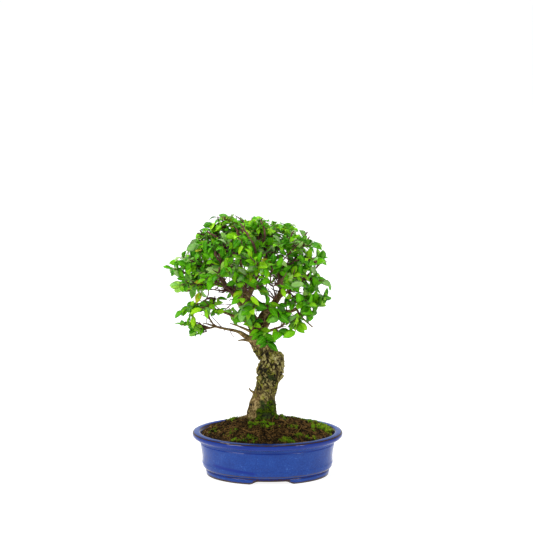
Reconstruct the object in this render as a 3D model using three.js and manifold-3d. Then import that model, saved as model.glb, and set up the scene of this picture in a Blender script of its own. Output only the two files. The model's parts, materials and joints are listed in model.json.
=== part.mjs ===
// A japanese zelkova bonsai, about 31 cm tall, in an oval blue-glazed stoneware pot.
//
// Millimetres, +Z up. X runs along the pot's long side and -Y is the front. Every place below is
// measured from the middle of the pot at the ground, and the finished group is moved sideways so that
// its own origin lies under the middle of the whole plant.
import * as THREE from "three";
import { mergeVertices } from "three/addons/utils/BufferGeometryUtils.js";
import Module from "manifold-3d";

const wasm = await Module();
wasm.setup();

// Pot: its outer sizes, then its rim, floor, foot notches and drain holes
const POT_WIDTH = 175;
const POT_DEPTH = 139;
const POT_HEIGHT = 51.2;
const POT_SIDES = 34;
const POT_BEND_LIMIT = 26;
const FLOOR_TOP = 9;
const FLOOR_UNDERSIDE = 4;
const NOTCH_WIDTH = 36;
const NOTCH_SHIFT = 5;
const DRAIN_RADIUS = 6.5;
const DRAIN_SIDES = 12;
const DRAIN_SPACING = 68;

// How far a cutting solid runs past the faces it cuts, and the gap left between touching pieces
const OVERRUN = 2;
const CLEARANCE = 0.3;

// Plastic screens that lie over the drain holes and keep the soil in
const SCREEN_SIZE = 20;
const SCREEN_THICK = 1;
const SCREEN_MESHES = 2;
const SCREEN_BAR = 2;

// Soil: a mound that falls from the trunk to a little under the rim, and the shares of the way out
// from its middle at which its surface is drawn
const SOIL_EDGE = POT_HEIGHT - 2.6;
const SOIL_INSET = 10.4;
const SOIL_MOUND = 16.8;
const SOIL_RINGS = [1, 0.75, 0.4, 0];

// Wood: facets round each kind of stem. Limbs thicker at the base get more of them.
const TRUNK_SIDES = 14;
const ROOT_SIDES = 4;
const TWIG_SIDES = 3;
const LIMB_SIDES = [[4, 6], [2.4, 5], [0, TWIG_SIDES]];

// Twigs: joints in each, thickness at the tip and how it swells with the sprays fed, the shares of
// its span over which it keeps the headings of bud and shoot, and how far apart two buds stand
const TWIG_STEPS = 2;
const TWIG_TIP_RADIUS = 0.8;
const TWIG_SWELL = 0.4;
const TWIG_LEAVES_BUD = 0.3;
const TWIG_MEETS_SHOOT = 0.4;
const BUD_STEPS = 4;
const BUD_SPACING = 7;
const BUD_CROWDED = 30;

// Sprays of the crown: how many, how far under its middle they reach, the turn of the first, and the
// first seeds of the crown's sprays, of their headings and of the low sprays
const CROWN_SPRAYS = 34;
const CROWN_LOW = 0.22;
const CROWN_TURN = 0.26;
const CROWN_SEED = 101;
const HEADING_SEED = 1000;
const LOW_SEED = 301;
const GOLDEN_ANGLE = Math.PI * (3 - Math.sqrt(5));

// Leafy shoots: size, and how much each one heads out of the dome, sideways and at random
const SHOOT_RADIUS = 0.8;
const SHOOT_THINS = 0.3;
const SHOOT_SHORTEST = 30;
const SHOOT_VARIES = 12;
const SHOOT_LEAVES = 6;
const SHOOT_STEPS = 3;
const SHOOT_DROOP = 0.12;
const SHOOT_OUTWARD = 0.35;
const SHOOT_SIDEWAYS = 0.7;
const SHOOT_SCATTER = 0.9;

// Leaves: size, how they lean from the shoot, and how their faces turn up and to the front
const LEAF_LENGTH = 14;
const LEAF_WIDTH = 0.6;
const LEAF_ASIDE = 0.8;
const LEAF_FORWARD = 0.5;
const LEAF_DROOP = 0.7;
const FACE_OUT = 0.6;
const FACE_FRONT = 0.45;
const FACE_UP = 0.6;
const FACE_SCATTER = 0.9;

// Blade: greatest thickness, its arch and fold as shares of length and width, where it is thickest,
// and its edge on one side, from the end of its stalk to its last tooth, as shares of length and of
// width. The base and the tip close it.
const BLADE_THICK = 0.9;
const BLADE_ARCH = 0.5;
const BLADE_FOLD = 0.22;
const BLADE_MIDDLE = 0.42;
const BLADE_EDGE = [[0.1, 0.07], [0.35, 0.49], [0.45, 0.43], [0.72, 0.36]];

const UP = new THREE.Vector3(0, 0, 1);

// Crown sprays drawn again from another seed, so that their shoots stay clear of the others
const REDRAWN = new Map([[0, 50], [4, 50]]);

// The crown is a flattened dome: its middle, its reach along X and Y, and its reach up and down
const CROWN = {
  middle: new THREE.Vector3(-22, 7, 228),
  reach: new THREE.Vector3(84, 78, 73),
  below: 40,
  squareness: 3.4,
  growsFrom: new THREE.Vector3(-19, 8, 176),
};

// The pot's inner wall from under the lip down to the floor, as [inset, height]
const POT_INSIDE = [[15.5, 41], [18.5, 13], [23, FLOOR_TOP]];

// The pot's whole section, as millimetres inside the rim's outline and height, from the underside
// round to the inside: foot ring, groove, belly, moulding, rolled rim, inner lip, wall and floor
const POT_SECTION = [
  [POT_WIDTH / 2, FLOOR_UNDERSIDE],
  [24.5, FLOOR_UNDERSIDE],
  [24, 0],
  [16.6, 0],
  [15.6, 5.4],
  [16.5, 6.4],
  [12.3, 10],
  [11.4, 15.4],
  [11.6, 24.6],
  [9.2, 37.8],
  [8, 39.2],
  [8, 42.4],
  [2.4, 43.9],
  [0, 46.7],
  [0.3, 50.2],
  [8, POT_HEIGHT],
  [9.4, 50.2],
  ...POT_INSIDE,
  [POT_WIDTH / 2, FLOOR_TOP],
];

// Trunk: x, y, z and radius up its middle line, from the foot in the soil to where the limbs part
const TRUNK = [
  [-6, 12, 36, 10],
  [-6.1, 12, 50, 15],
  [-6.1, 12, 60, 17.6],
  [-6, 12, 67, 17.3],
  [-5.6, 12, 74, 16.2],
  [-5.1, 12, 82, 14.8],
  [-4.2, 12, 90, 13.1],
  [-2.4, 11.5, 97, 12.6],
  [-1, 10.6, 104, 12.5],
  [0.4, 10, 111, 12.7],
  [2.6, 9, 118, 14.6],
  [4.4, 8, 124.5, 14.4],
  [6, 7, 131, 12.8],
  [4.6, 6.5, 136, 12],
  [1.2, 6, 140.5, 10.9],
  [-4.2, 5, 146, 10],
  [-8.6, 4, 152, 9.4],
  [-11, 3, 158.5, 9.2],
  [-12.2, 2, 165, 8.6],
  [-12.8, 1, 171, 7.2],
];

// Knobs and old scars on the trunk: bearing in degrees (0 right, -90 front), height, bulge and spread
const TRUNK_KNOBS = [
  [2, 135, 1.8, 4.5],
  [-20, 122, 1.2, 6],
  [176, 115, 2.6, 3.5],
  [-118, 126, 2, 7],
  [-60, 141, 2.2, 6],
  [70, 106, 2.4, 7],
  [110, 136, 2.6, 8],
  [-150, 94, 1.4, 6],
];

// Limbs: x, y, z and radius along each one. "bears" is the share of its length, from the base, that
// carries no leafy twigs; a limb without it is bare.
const LIMBS = [
  { // long low limb to the left, with its two forks
    way: [[-15, -1, 156, 5.4], [-21.5, -2, 161, 4.3], [-30, -4, 167, 3.1], [-38, -6, 171, 2.3],
      [-49, -8, 173.4, 1.9], [-61, -10, 176.6, 1.8]],
  },
  {
    way: [[-60, -10, 176.4, 1.5], [-67, -12, 174.8, 1.2], [-74, -13, 173.8, 1.1]],
    bears: 0.6,
  },
  {
    way: [[-60.5, -10, 176.5, 1.6], [-64, -10, 182, 1.3], [-69, -10.5, 189.5, 1.2],
      [-73.6, -11, 200.5, 1.1]],
    bears: 0.8,
  },
  { // second left limb, above it
    way: [[-17, -1, 172, 3.6], [-25.5, -3, 181.2, 2.4], [-34.6, -6, 185.5, 1.8], [-45.6, -8, 191, 1.5],
      [-56.7, -9, 195.2, 1.3], [-69.3, -10, 199.7, 1.1]],
    bears: 0.85,
  },
  { // main left limb and its two arms
    way: [[-12.4, 1, 163, 8.4], [-13.8, 0, 174, 6.6], [-18, 0, 185, 5.6], [-23.6, 0, 198.5, 5.1],
      [-26, 0, 207, 4.9]],
  },
  {
    way: [[-25.6, 0, 205, 4.4], [-32, 2, 211, 3.6], [-41, 4, 216.6, 2.9], [-52, 6, 226, 1.9],
      [-62, 9, 238, 1.2]],
    bears: 0.4,
  },
  {
    way: [[-25.8, 0, 205.5, 4.3], [-22, -1, 212, 3.8], [-19, -2, 218, 3.4], [-14.3, -4, 228, 2.1],
      [-10, -7, 243, 1.5], [-7, -9, 258, 1.1]],
    bears: 0.5,
  },
  { // leader that rises behind the fork
    way: [[-26, 1, 204, 4.5], [-27, 4, 217, 4.1], [-29, 8, 234, 2.4], [-31, 11, 250, 1.6],
      [-32, 12, 264, 1.1]],
    bears: 0.5,
  },
  { // main right limb and its fork
    way: [[-10.5, 3, 164, 7.4], [-8.1, 5, 179.5, 5.2], [-4, 6, 188, 4.5], [5.2, 7, 195, 4],
      [10, 8, 203.4, 3.7], [15.6, 9, 213, 3.3], [17, 10, 221, 2.2], [13, 12, 236, 1.3]],
    bears: 0.7,
  },
  {
    way: [[11.5, 8, 206, 2.6], [24, 4, 214.6, 1.8], [31, 2, 217, 1.6], [42, 3, 230, 1.2]],
    bears: 0.6,
  },
  {
    way: [[16, 9.5, 216, 2.5], [26, 14, 230, 1.6], [36, 16, 246, 1.1]],
    bears: 0.5,
  },
  { // right limb that passes in front
    way: [[-8.5, -1, 167, 4.8], [-1.1, -3, 177, 3.5], [4.5, -5, 184.4, 3], [12.7, -7, 190, 2.7],
      [18.3, -9, 192.6, 2.7], [28.1, -11, 195, 2.2], [37.8, -13, 200.3, 1.8], [51.6, -14, 207.5, 1.2]],
    bears: 0.6,
  },
  {
    way: [[33, -12, 197.6, 1.5], [37, -12, 191, 1.3], [41.8, -13, 185, 1.1], [51.7, -14, 176.5, 0.8]],
    bears: 0.4,
  },
  { // small front branch low on the right
    way: [[-9, -5, 164, 3.2], [-2, -10, 169.5, 2.1], [7.2, -14, 174, 1.6], [17, -16, 178.6, 1.3],
      [18.5, -16, 185, 1]],
    bears: 0.35,
  },
  { // limbs to the back
    way: [[-9.5, 5, 161, 5.6], [-2, 17, 178, 4.2], [8, 30, 194, 3.2], [20, 43, 210, 1.9],
      [30, 53, 226, 1.2]],
    bears: 0.5,
  },
  {
    way: [[-13.5, 4, 166, 5.2], [-23, 17, 184, 4], [-36, 30, 201, 3.1], [-49, 42, 217, 1.7],
      [-58, 50, 232, 1.2]],
    bears: 0.5,
  },
  {
    way: [[-23, 17, 184, 3.4], [-21, 26, 204, 2.8], [-18, 34, 228, 1.7], [-15, 38, 250, 1.2]],
    bears: 0.5,
  },
  // dead stubs and bare twigs
  { way: [[-21, -1, 158, 2.2], [-28, -3, 159, 1.3], [-34, -4, 158.6, 0.6]] },
  { way: [[-14, 8, 93, 2], [-19.6, 5, 97.5, 1.1], [-21.5, 4, 101, 0.5]] },
  { way: [[-17, -4, 168, 1.9], [-30, -7, 175, 1.2], [-43, -8, 179.8, 0.6]] },
  { way: [[-61, -10, 176.6, 1.2], [-69, -8, 179, 0.9], [-74, -9, 180.5, 0.5]] },
  { way: [[-43, 4, 218, 1.6], [-52, 1, 216, 1.1], [-61, -1, 217.5, 0.6]] },
  { way: [[5.5, 7, 196, 1.8], [15, 4, 199.5, 1.1], [27, 2, 203, 0.6]] },
];

// Surface roots that leave the flare and dive into the mound: x, y, z and radius
const ROOTS = [
  [[0, 7, 61, 7], [12, 1, 62.4, 4.6], [22, -3, 62.6, 3], [31, -6, 58, 1.6]],
  [[-12, 4, 61, 7], [-20, -6, 61.4, 4.2], [-27, -12, 60.4, 2.8], [-34, -17, 55, 1.6]],
  [[-16, 16, 60, 7], [-30, 20, 58.3, 4.2], [-41, 24, 55.3, 2.8], [-50, 28, 48, 1.6]],
  [[-3, 22, 60, 7], [3, 33, 57.6, 4.2], [9, 41, 54.6, 2.6], [13, 47, 48, 1.6]],
];

// Low sprays whose place is plain to see: where the shoot starts, where its tip is, and its leaf size
const LOW_SPRAYS = [
  { from: [-78, -13, 175], to: [-100, -15, 183], leaf: 0.8 },
  { from: [-78, -16, 171.5], to: [-95, -20, 169], leaf: 0.85 },
  { from: [-79, -13, 204], to: [-101, -20, 196], leaf: 1 },
  { from: [-64, -18, 212], to: [-46, -40, 212], leaf: 0.9 },
  { from: [-5, -20, 172], to: [-1, -42, 167], leaf: 1.1 },
  { from: [12, -22, 177], to: [23, -42, 173], leaf: 1.1 },
  { from: [-14, -22, 206], to: [-16, -56, 210], leaf: 1.1 },
  { from: [13, -22, 198], to: [12, -54, 198], leaf: 1.1 },
  { from: [42, -18, 184], to: [38, -38, 176], leaf: 1.05 },
  { from: [50, -17, 203], to: [58, -38, 201], leaf: 1.05 },
  { from: [8, 40, 188], to: [20, 64, 176], leaf: 1 },
  { from: [-40, 38, 194], to: [-52, 62, 182], leaf: 1 },
];

/** Lehmer's generator: one seed always gives the same run of numbers between 0 and 1. */
function seeded(seed) {
  let state = seed * 99991 + 7;
  return () => {
    state = (state * 48271) % 2147483647;
    return state / 2147483647;
  };
}

/** A closed geometry as a solid, keeping only its corners' places. */
function solidOf(geometry) {
  geometry.deleteAttribute("normal");
  geometry.deleteAttribute("uv");
  const merged = mergeVertices(geometry, 1e-4);
  return new wasm.Manifold(new wasm.Mesh({
    numProp: 3,
    vertProperties: merged.getAttribute("position").array,
    triVerts: new Uint32Array(merged.index.array),
  }));
}

/** A solid as a named mesh, without loose scraps or sealed hollows. */
function meshOf(name, solid, material) {
  const whole = solid.decompose().reduce((a, b) => (b.volume() > a.volume() ? b : a));
  const made = whole.getMesh();
  const geometry = new THREE.BufferGeometry();
  geometry.setAttribute("position", new THREE.BufferAttribute(made.vertProperties, 3));
  geometry.setIndex(new THREE.BufferAttribute(made.triVerts, 1));
  geometry.computeVertexNormals();
  const mesh = new THREE.Mesh(geometry, material);
  mesh.name = name;
  return mesh;
}

/**
 * A closed round bar along a line of points, with its own radius at each one. `relief` may swell it
 * by bearing and height: bearing 0 is to the right and a quarter turn is to the back. `ends` turns it:
 * its first and last headings, and the direction in which its section starts.
 */
function bar(points, radii, sides, ends = {}, relief = () => 0) {
  const steps = points.length - 1;
  const geometry = new THREE.CylinderGeometry(1, 1, 1, sides, steps);
  const frames = framesAlong(points, ends);
  const place = geometry.getAttribute("position");
  const spot = new THREE.Vector3();
  for (let i = 0; i < place.count; i += 1) {
    const step = Math.round((place.getY(i) + 0.5) * steps);
    const across = place.getX(i);
    const around = place.getZ(i);
    const { aside, outward } = frames[step];
    const bearing = Math.atan2(-around, across);
    const radius = radii[step] + relief(bearing, points[step].z);
    spot.copy(points[step]);
    spot.addScaledVector(aside, across * radius);
    spot.addScaledVector(outward, around * radius);
    place.setXYZ(i, spot.x, spot.y, spot.z);
  }
  return solidOf(geometry);
}

/** Two directions square to the line at each of its points, carried along it without a twist. */
function framesAlong(points, { first, last, aside = new THREE.Vector3(1, 0, 0) }) {
  const end = points.length - 1;
  let across = aside;
  return points.map((point, i) => {
    const before = points[Math.max(i - 1, 0)];
    const after = points[Math.min(i + 1, end)];
    const chord = after.clone().sub(before).normalize();
    const ahead = (i === 0 && first) || (i === end && last) || chord;
    if (i === 0 && Math.abs(ahead.dot(across)) > 0.9) across = new THREE.Vector3(0, 1, 0);
    across = across.clone().addScaledVector(ahead, -across.dot(ahead)).normalize();
    return { aside: across, outward: across.clone().cross(ahead) };
  });
}

/** A list of [x, y, z, radius] as points and radii, each radius enlarged by `grow`. */
function lineOf(way, grow = 0) {
  return {
    points: way.map(([x, y, z]) => new THREE.Vector3(x, y, z)),
    radii: way.map((stop) => stop[3] + grow),
  };
}

/** The place in the pot's plan that lies `inset` inside the rim's outline, at an angle round it. */
function ovalPlace(inset, angle) {
  const halfWidth = POT_WIDTH / 2;
  const halfDepth = POT_DEPTH / 2;
  const depth = Math.min(inset, POT_BEND_LIMIT);
  const square = new THREE.Vector2(Math.cos(angle) / halfWidth, Math.sin(angle) / halfDepth).normalize();
  const shrink = Math.min(1, (halfWidth - inset) / (halfWidth - POT_BEND_LIMIT));
  return {
    x: (Math.cos(angle) * halfWidth - square.x * depth) * shrink,
    y: (Math.sin(angle) * halfDepth - square.y * depth) * shrink,
  };
}

/** A solid turned on the pot's oval from a section of [inset, height] pairs. */
function ovalSolid(section, relief = () => 0) {
  const halfWidth = POT_WIDTH / 2;
  const outline = section.map(([inset, z]) => new THREE.Vector2(halfWidth - inset, z));
  const geometry = new THREE.LatheGeometry(outline, POT_SIDES);
  const place = geometry.getAttribute("position");
  for (let i = 0; i < place.count; i += 1) {
    const radius = Math.hypot(place.getX(i), place.getZ(i));
    const angle = Math.atan2(-place.getZ(i), place.getX(i));
    const { x, y } = ovalPlace(halfWidth - radius, angle);
    const z = place.getY(i);
    place.setXYZ(i, x, y, z + relief(x, y, z));
  }
  return solidOf(geometry);
}

/** A block by its sizes and the middle of its underside. */
function block(width, depth, height, x, y, z) {
  const geometry = new THREE.BoxGeometry(width, depth, height);
  geometry.translate(x, y, z + height / 2);
  return solidOf(geometry);
}

/** An upright round plug. */
function plug(radius, x, y, from, to) {
  const geometry = new THREE.CylinderGeometry(radius, radius, to - from, DRAIN_SIDES);
  geometry.rotateX(Math.PI / 2);
  geometry.translate(x, y, (from + to) / 2);
  return solidOf(geometry);
}

/** The pot: its turned oval body, less the notches in the foot ring and the two drain holes. */
function pot() {
  let body = ovalSolid(POT_SECTION);
  const notch = block(NOTCH_WIDTH, POT_DEPTH, FLOOR_UNDERSIDE + OVERRUN, NOTCH_SHIFT, 0, -OVERRUN);
  body = body.subtract(notch);
  for (const side of [-1, 1]) {
    const x = (side * DRAIN_SPACING) / 2;
    body = body.subtract(plug(DRAIN_RADIUS, x, 0, FLOOR_UNDERSIDE - OVERRUN, FLOOR_TOP + OVERRUN));
  }
  return body;
}

/** A square plastic screen with its grid of openings, lying on the pot's floor. */
function drainScreen(x) {
  const pitch = (SCREEN_SIZE - SCREEN_BAR) / SCREEN_MESHES;
  const opening = pitch - SCREEN_BAR;
  const first = (pitch * (SCREEN_MESHES - 1)) / 2;
  let plate = block(SCREEN_SIZE, SCREEN_SIZE, SCREEN_THICK, x, 0, FLOOR_TOP + CLEARANCE);
  for (let row = 0; row < SCREEN_MESHES; row += 1) {
    for (let column = 0; column < SCREEN_MESHES; column += 1) {
      const aside = x - first + column * pitch;
      const back = -first + row * pitch;
      plate = plate.subtract(block(opening, opening, SCREEN_THICK + OVERRUN, aside, back, FLOOR_TOP));
    }
  }
  return plate;
}

/** How much the soil's surface is raised or lowered at a place, as loose lumps. */
function soilLumps(x, y) {
  return 0.9 * Math.sin(0.11 * x + 1.3) * Math.sin(0.13 * y) + 0.4 * Math.sin(0.2 * x - 0.17 * y);
}

/** The mound of soil, with recesses for the screens and a plain hole for the trunk and its roots. */
function soil(buried) {
  const halfWidth = POT_WIDTH / 2;
  const halfMound = halfWidth - SOIL_INSET - CLEARANCE;
  const surface = SOIL_RINGS.map((share) => [
    halfWidth - share * halfMound,
    SOIL_EDGE + SOIL_MOUND * (1 - share * share),
  ]);
  const wall = POT_INSIDE.map(([inset, z]) => [inset + CLEARANCE, Math.max(z, FLOOR_TOP + CLEARANCE)]);
  const section = [[halfWidth, FLOOR_TOP + CLEARANCE], ...wall.reverse(), ...surface];
  const lumpy = (x, y, z) => (z > SOIL_EDGE + CLEARANCE ? soilLumps(x, y) : 0);
  let body = ovalSolid(section, lumpy);
  for (const side of [-1, 1]) {
    const size = SCREEN_SIZE + 2 * CLEARANCE;
    const depth = SCREEN_THICK + 2 * CLEARANCE + OVERRUN;
    const x = (side * DRAIN_SPACING) / 2;
    body = body.subtract(block(size, size, depth, x, 0, FLOOR_TOP - OVERRUN));
  }
  return body.subtract(buried);
}

/** How far the trunk's bark stands out or in: low flutes that wind up it, and its knobs. */
function trunkRelief(bearing, z) {
  const shallow = Math.min(1, Math.max(0.3, (178 - z) / 30));
  const flutes = 0.8 * Math.sin(3 * bearing + z / 13) + 0.6 * Math.sin(5 * bearing - z / 9 + 1);
  const knobs = TRUNK_KNOBS.map(([degrees, height, bulge, spread]) => {
    const turn = Math.cos(bearing - (degrees * Math.PI) / 180) - 1;
    const rise = (z - height) / spread;
    return bulge * Math.exp(12 * turn - rise * rise);
  });
  return flutes * shallow + knobs.reduce((sum, each) => sum + each, 0);
}

/** Every solid of the trunk, limbs, stubs and surface roots, each enlarged by `grow`. */
function trunkAndLimbs(grow = 0) {
  const stem = lineOf(TRUNK, grow);
  const roots = ROOTS.map((way) => lineOf(way, grow));
  const limbs = LIMBS.map(({ way }) => lineOf(way, grow));
  const sides = (radius) => LIMB_SIDES.find(([least]) => radius > least)[1];
  return [
    bar(stem.points, stem.radii, TRUNK_SIDES, {}, trunkRelief),
    ...roots.map(({ points, radii }) => bar(points, radii, ROOT_SIDES)),
    ...limbs.map(({ points, radii }) => bar(points, radii, sides(radii[0]))),
  ];
}

/** The surface of the crown's dome in a direction from its middle. */
function crownPlace(toward) {
  const { middle, reach, below, squareness } = CROWN;
  const rise = toward.z < 0 ? below : reach.z;
  const sum = Math.abs(toward.x / reach.x) ** squareness
    + Math.abs(toward.y / reach.y) ** squareness
    + Math.abs(toward.z / rise) ** squareness;
  return middle.clone().addScaledVector(toward, sum ** (-1 / squareness));
}

/** The sprays of the crown, spread evenly over its dome by the golden angle, then the low ones. */
function sprayPlan() {
  const plan = [];
  for (let i = 0; i < CROWN_SPRAYS; i += 1) {
    const seed = i + CROWN_SEED + (REDRAWN.get(i) ?? 0);
    const rand = seeded(seed + HEADING_SEED);
    const height = 1 - ((i + 0.5) / CROWN_SPRAYS) * (1 + CROWN_LOW);
    const across = Math.sqrt(1 - height * height);
    const turn = CROWN_TURN + i * GOLDEN_ANGLE;
    const toward = new THREE.Vector3(across * Math.cos(turn), across * Math.sin(turn), height);
    const tip = crownPlace(toward);
    const heading = tip.clone().sub(CROWN.growsFrom).normalize().multiplyScalar(SHOOT_OUTWARD);
    heading.x += SHOOT_SIDEWAYS * Math.cos(turn) + SHOOT_SCATTER * (rand() - 0.5);
    heading.y += SHOOT_SIDEWAYS * Math.sin(turn) + SHOOT_SCATTER * (rand() - 0.5);
    heading.z += (SHOOT_SCATTER / 3) * (rand() - 0.5);
    heading.normalize();
    const length = SHOOT_SHORTEST + SHOOT_VARIES * rand();
    const start = tip.clone().addScaledVector(heading, -length);
    plan.push({ start, heading, length, leaf: 1, seed });
  }
  LOW_SPRAYS.forEach(({ from, to, leaf }, i) => {
    const start = new THREE.Vector3(...from);
    const heading = new THREE.Vector3(...to).sub(start);
    const length = heading.length();
    plan.push({ start, heading: heading.normalize(), length, leaf, seed: i + LOW_SEED });
  });
  return plan;
}

/** Places on the limbs from which a leafy twig may grow, with the limb's direction there. */
function budsOnLimbs() {
  const buds = [];
  for (const { way, bears } of LIMBS) {
    if (bears === undefined) continue;
    const { points } = lineOf(way);
    const curve = new THREE.CatmullRomCurve3(points, false, "catmullrom", 0.5);
    for (let step = 0; step <= BUD_STEPS; step += 1) {
      const t = Math.min(bears + ((1 - bears) * step) / BUD_STEPS, 0.99);
      const ahead = curve.getPoint(t + 0.01).sub(curve.getPoint(t - 0.01)).normalize();
      buds.push({ place: curve.getPoint(t), ahead, parent: null, load: 0 });
    }
  }
  return buds;
}

/**
 * The twigs that carry the sprays. Sprays are taken from the nearest outwards. Each one's twig leaves
 * the bud that costs least, by distance and by how sharply the twig would turn, and its own joints
 * become buds for the sprays beyond. A twig is as thick as the number of sprays it feeds asks.
 */
function growTwigs(plan) {
  const buds = budsOnLimbs();
  const nearest = (spray) => Math.min(...buds.map(({ place }) => place.distanceTo(spray.start)));
  const order = plan.map((spray) => ({ spray, distance: nearest(spray) }));
  order.sort((a, b) => a.distance - b.distance);
  const twigs = [];
  for (const { spray } of order) {
    const cost = (bud) => {
      const gap = spray.start.clone().sub(bud.place);
      const distance = gap.length();
      const turn = 1 - gap.dot(bud.ahead) / distance;
      return distance * (1 + 0.5 * turn) + (distance < BUD_SPACING ? BUD_CROWDED : 0);
    };
    const bud = buds.reduce((best, each) => (cost(each) < cost(best) ? each : best));
    const span = bud.place.distanceTo(spray.start);
    const line = new THREE.CubicBezierCurve3(
      bud.place,
      bud.place.clone().addScaledVector(bud.ahead, span * TWIG_LEAVES_BUD),
      spray.start.clone().addScaledVector(spray.heading, -span * TWIG_MEETS_SHOOT),
      spray.start,
    );
    const joints = [];
    let parent = bud;
    for (let step = 1; step <= TWIG_STEPS; step += 1) {
      const t = step / TWIG_STEPS;
      const joint = { place: line.getPoint(t), ahead: line.getTangent(t), parent, load: 0 };
      joints.push(joint);
      parent = joint;
    }
    for (let below = parent; below; below = below.parent) below.load += 1;
    buds.push(...joints.slice(0, -1));
    twigs.push({ spray, bud, joints });
  }
  return twigs;
}

/** A twig's thickness where it feeds `load` sprays. */
function twigRadius(load) {
  return TWIG_TIP_RADIUS * load ** TWIG_SWELL;
}

/** One twig as a solid, from its bud to the foot of its spray. */
function twigSolid({ spray, bud, joints }) {
  const points = [bud.place, ...joints.map(({ place }) => place)];
  const radii = joints.map(({ load }) => twigRadius(load));
  return bar(points, [radii[0], ...radii], TWIG_SIDES, { last: spray.heading });
}

/**
 * The layout of one spray: a drooping shoot with a leaf at each joint, on alternate sides, and one at
 * its tip. Every draw is made in a fixed order from the spray's seed.
 */
function sprayLayout({ start, heading, length, leaf, seed }) {
  const rand = seeded(seed);
  const side = heading.clone().cross(UP).normalize();
  const spot = (share) => {
    const point = start.clone().addScaledVector(heading, length * share);
    point.z -= SHOOT_DROOP * length * share * share;
    return point;
  };
  const leaves = [];
  for (let k = 1; k <= SHOOT_LEAVES; k += 1) {
    const share = k / SHOOT_LEAVES;
    const last = k === SHOOT_LEAVES;
    const hand = k % 2 ? 1 : -1;
    const along = heading.clone().multiplyScalar(last ? 1 : LEAF_FORWARD * (1 + 0.5 * rand()));
    along.addScaledVector(side, hand * (last ? 0.1 : LEAF_ASIDE));
    along.z += LEAF_DROOP * (rand() - 0.85);
    along.normalize();
    const face = new THREE.Vector3(heading.x * FACE_OUT, heading.y * FACE_OUT - FACE_FRONT, FACE_UP);
    face.x += FACE_SCATTER * (rand() - 0.5);
    face.y += FACE_SCATTER * (rand() - 0.5);
    face.addScaledVector(along, -face.dot(along)).normalize();
    const size = LEAF_LENGTH * leaf * (0.75 + 0.3 * Math.sin(Math.PI * share * 0.8) + 0.2 * rand());
    leaves.push({ foot: spot(last ? 0.985 : share), along, face, size });
  }
  const points = [];
  for (let step = 0; step <= SHOOT_STEPS; step += 1) points.push(spot(step / SHOOT_STEPS));
  return { points, leaves };
}

/**
 * One leaf: a thin arched blade folded along its rib, thickest at its middle, with teeth that point
 * forward. Its foot is sunk through the shoot. `grow` enlarges it all round.
 */
function bladeSolid({ foot, along, face, size }, grow = 0) {
  const width = size * LEAF_WIDTH + 2 * grow;
  const side = face.clone().cross(along);
  const spot = (share, across, lift) => {
    const arch = BLADE_ARCH * share * (0.9 - share);
    const height = arch * size + BLADE_FOLD * Math.abs(across) * width + lift;
    return foot.clone()
      .addScaledVector(along, share * size)
      .addScaledVector(side, across * width)
      .addScaledVector(face, height);
  };
  const over = grow / size;
  const edge = [
    spot(-0.015 - over, 0, 0),
    ...BLADE_EDGE.map(([share, across]) => spot(share, -across, 0)),
    spot(1 + over, 0, 0),
    ...BLADE_EDGE.slice().reverse().map(([share, across]) => spot(share, across, 0)),
  ];
  const half = BLADE_THICK / 2 + grow;
  const corners = [...edge, spot(BLADE_MIDDLE, 0, half), spot(BLADE_MIDDLE, 0, -half)];
  const faces = edge.flatMap((_, i) => {
    const next = (i + 1) % edge.length;
    return [edge.length, i, next, edge.length + 1, next, i];
  });
  const geometry = new THREE.BufferGeometry().setFromPoints(corners);
  geometry.setIndex(faces);
  return solidOf(geometry);
}

/** A shoot as a solid that thins to its tip. */
function shootSolid(points, heading) {
  const radii = points.map((_, i) => SHOOT_RADIUS * (1 - (SHOOT_THINS * i) / SHOOT_STEPS));
  const aside = UP.clone().cross(heading).normalize();
  return bar(points, radii, TWIG_SIDES, { first: heading, aside });
}

/** Whether two solids share any space. */
function meet(a, b) {
  const boxA = a.boundingBox();
  const boxB = b.boundingBox();
  const apart = [0, 1, 2].some((k) => boxA.min[k] > boxB.max[k] || boxB.min[k] > boxA.max[k]);
  return !apart && !a.intersect(b).isEmpty();
}

const materials = {
  glaze: new THREE.MeshStandardMaterial({ color: 0x3a57a0, roughness: 0.18, metalness: 0 }),
  screen: new THREE.MeshStandardMaterial({ color: 0x22231f, roughness: 0.6, metalness: 0 }),
  soil: new THREE.MeshStandardMaterial({ color: 0x3b2a16, roughness: 0.95, metalness: 0 }),
  bark: new THREE.MeshStandardMaterial({ color: 0x74684a, roughness: 0.85, metalness: 0 }),
  leaf: new THREE.MeshStandardMaterial({ color: 0x559420, roughness: 0.45, metalness: 0 }),
};

/** The sprays as meshes: every shoot first, then each leaf that stays clear of the neighbours. */
function sprayMeshes(twigs, wood) {
  const taken = wood.map((solid) => ({ solid, owner: -1 }));
  const isClear = (guard, owner) => !taken.some((each) => each.owner !== owner && meet(guard, each.solid));
  const sprays = twigs.map(({ spray }, owner) => {
    const start = spray.start.clone().addScaledVector(spray.heading, CLEARANCE);
    const { points, leaves } = sprayLayout({ ...spray, start });
    const shoot = shootSolid(points, spray.heading);
    taken.push({ solid: shoot, owner });
    return { owner, leaves, solids: [shoot] };
  });
  for (const { owner, leaves, solids } of sprays) {
    for (const leaf of leaves) {
      if (!isClear(bladeSolid(leaf, CLEARANCE), owner)) continue;
      const blade = bladeSolid(leaf);
      solids.push(blade);
      taken.push({ solid: blade, owner });
    }
  }
  return sprays.map(({ solids, owner }) => {
    const name = `spray_${String(owner + 1).padStart(2, "0")}`;
    return meshOf(name, wasm.Manifold.union(solids), materials.leaf);
  });
}

const plan = sprayPlan();
const twigs = growTwigs(plan);
const woodSolids = [...trunkAndLimbs(), ...twigs.map((twig) => twigSolid(twig))];
const buried = wasm.Manifold.union(trunkAndLimbs(CLEARANCE).slice(0, 1 + ROOTS.length));

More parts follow.
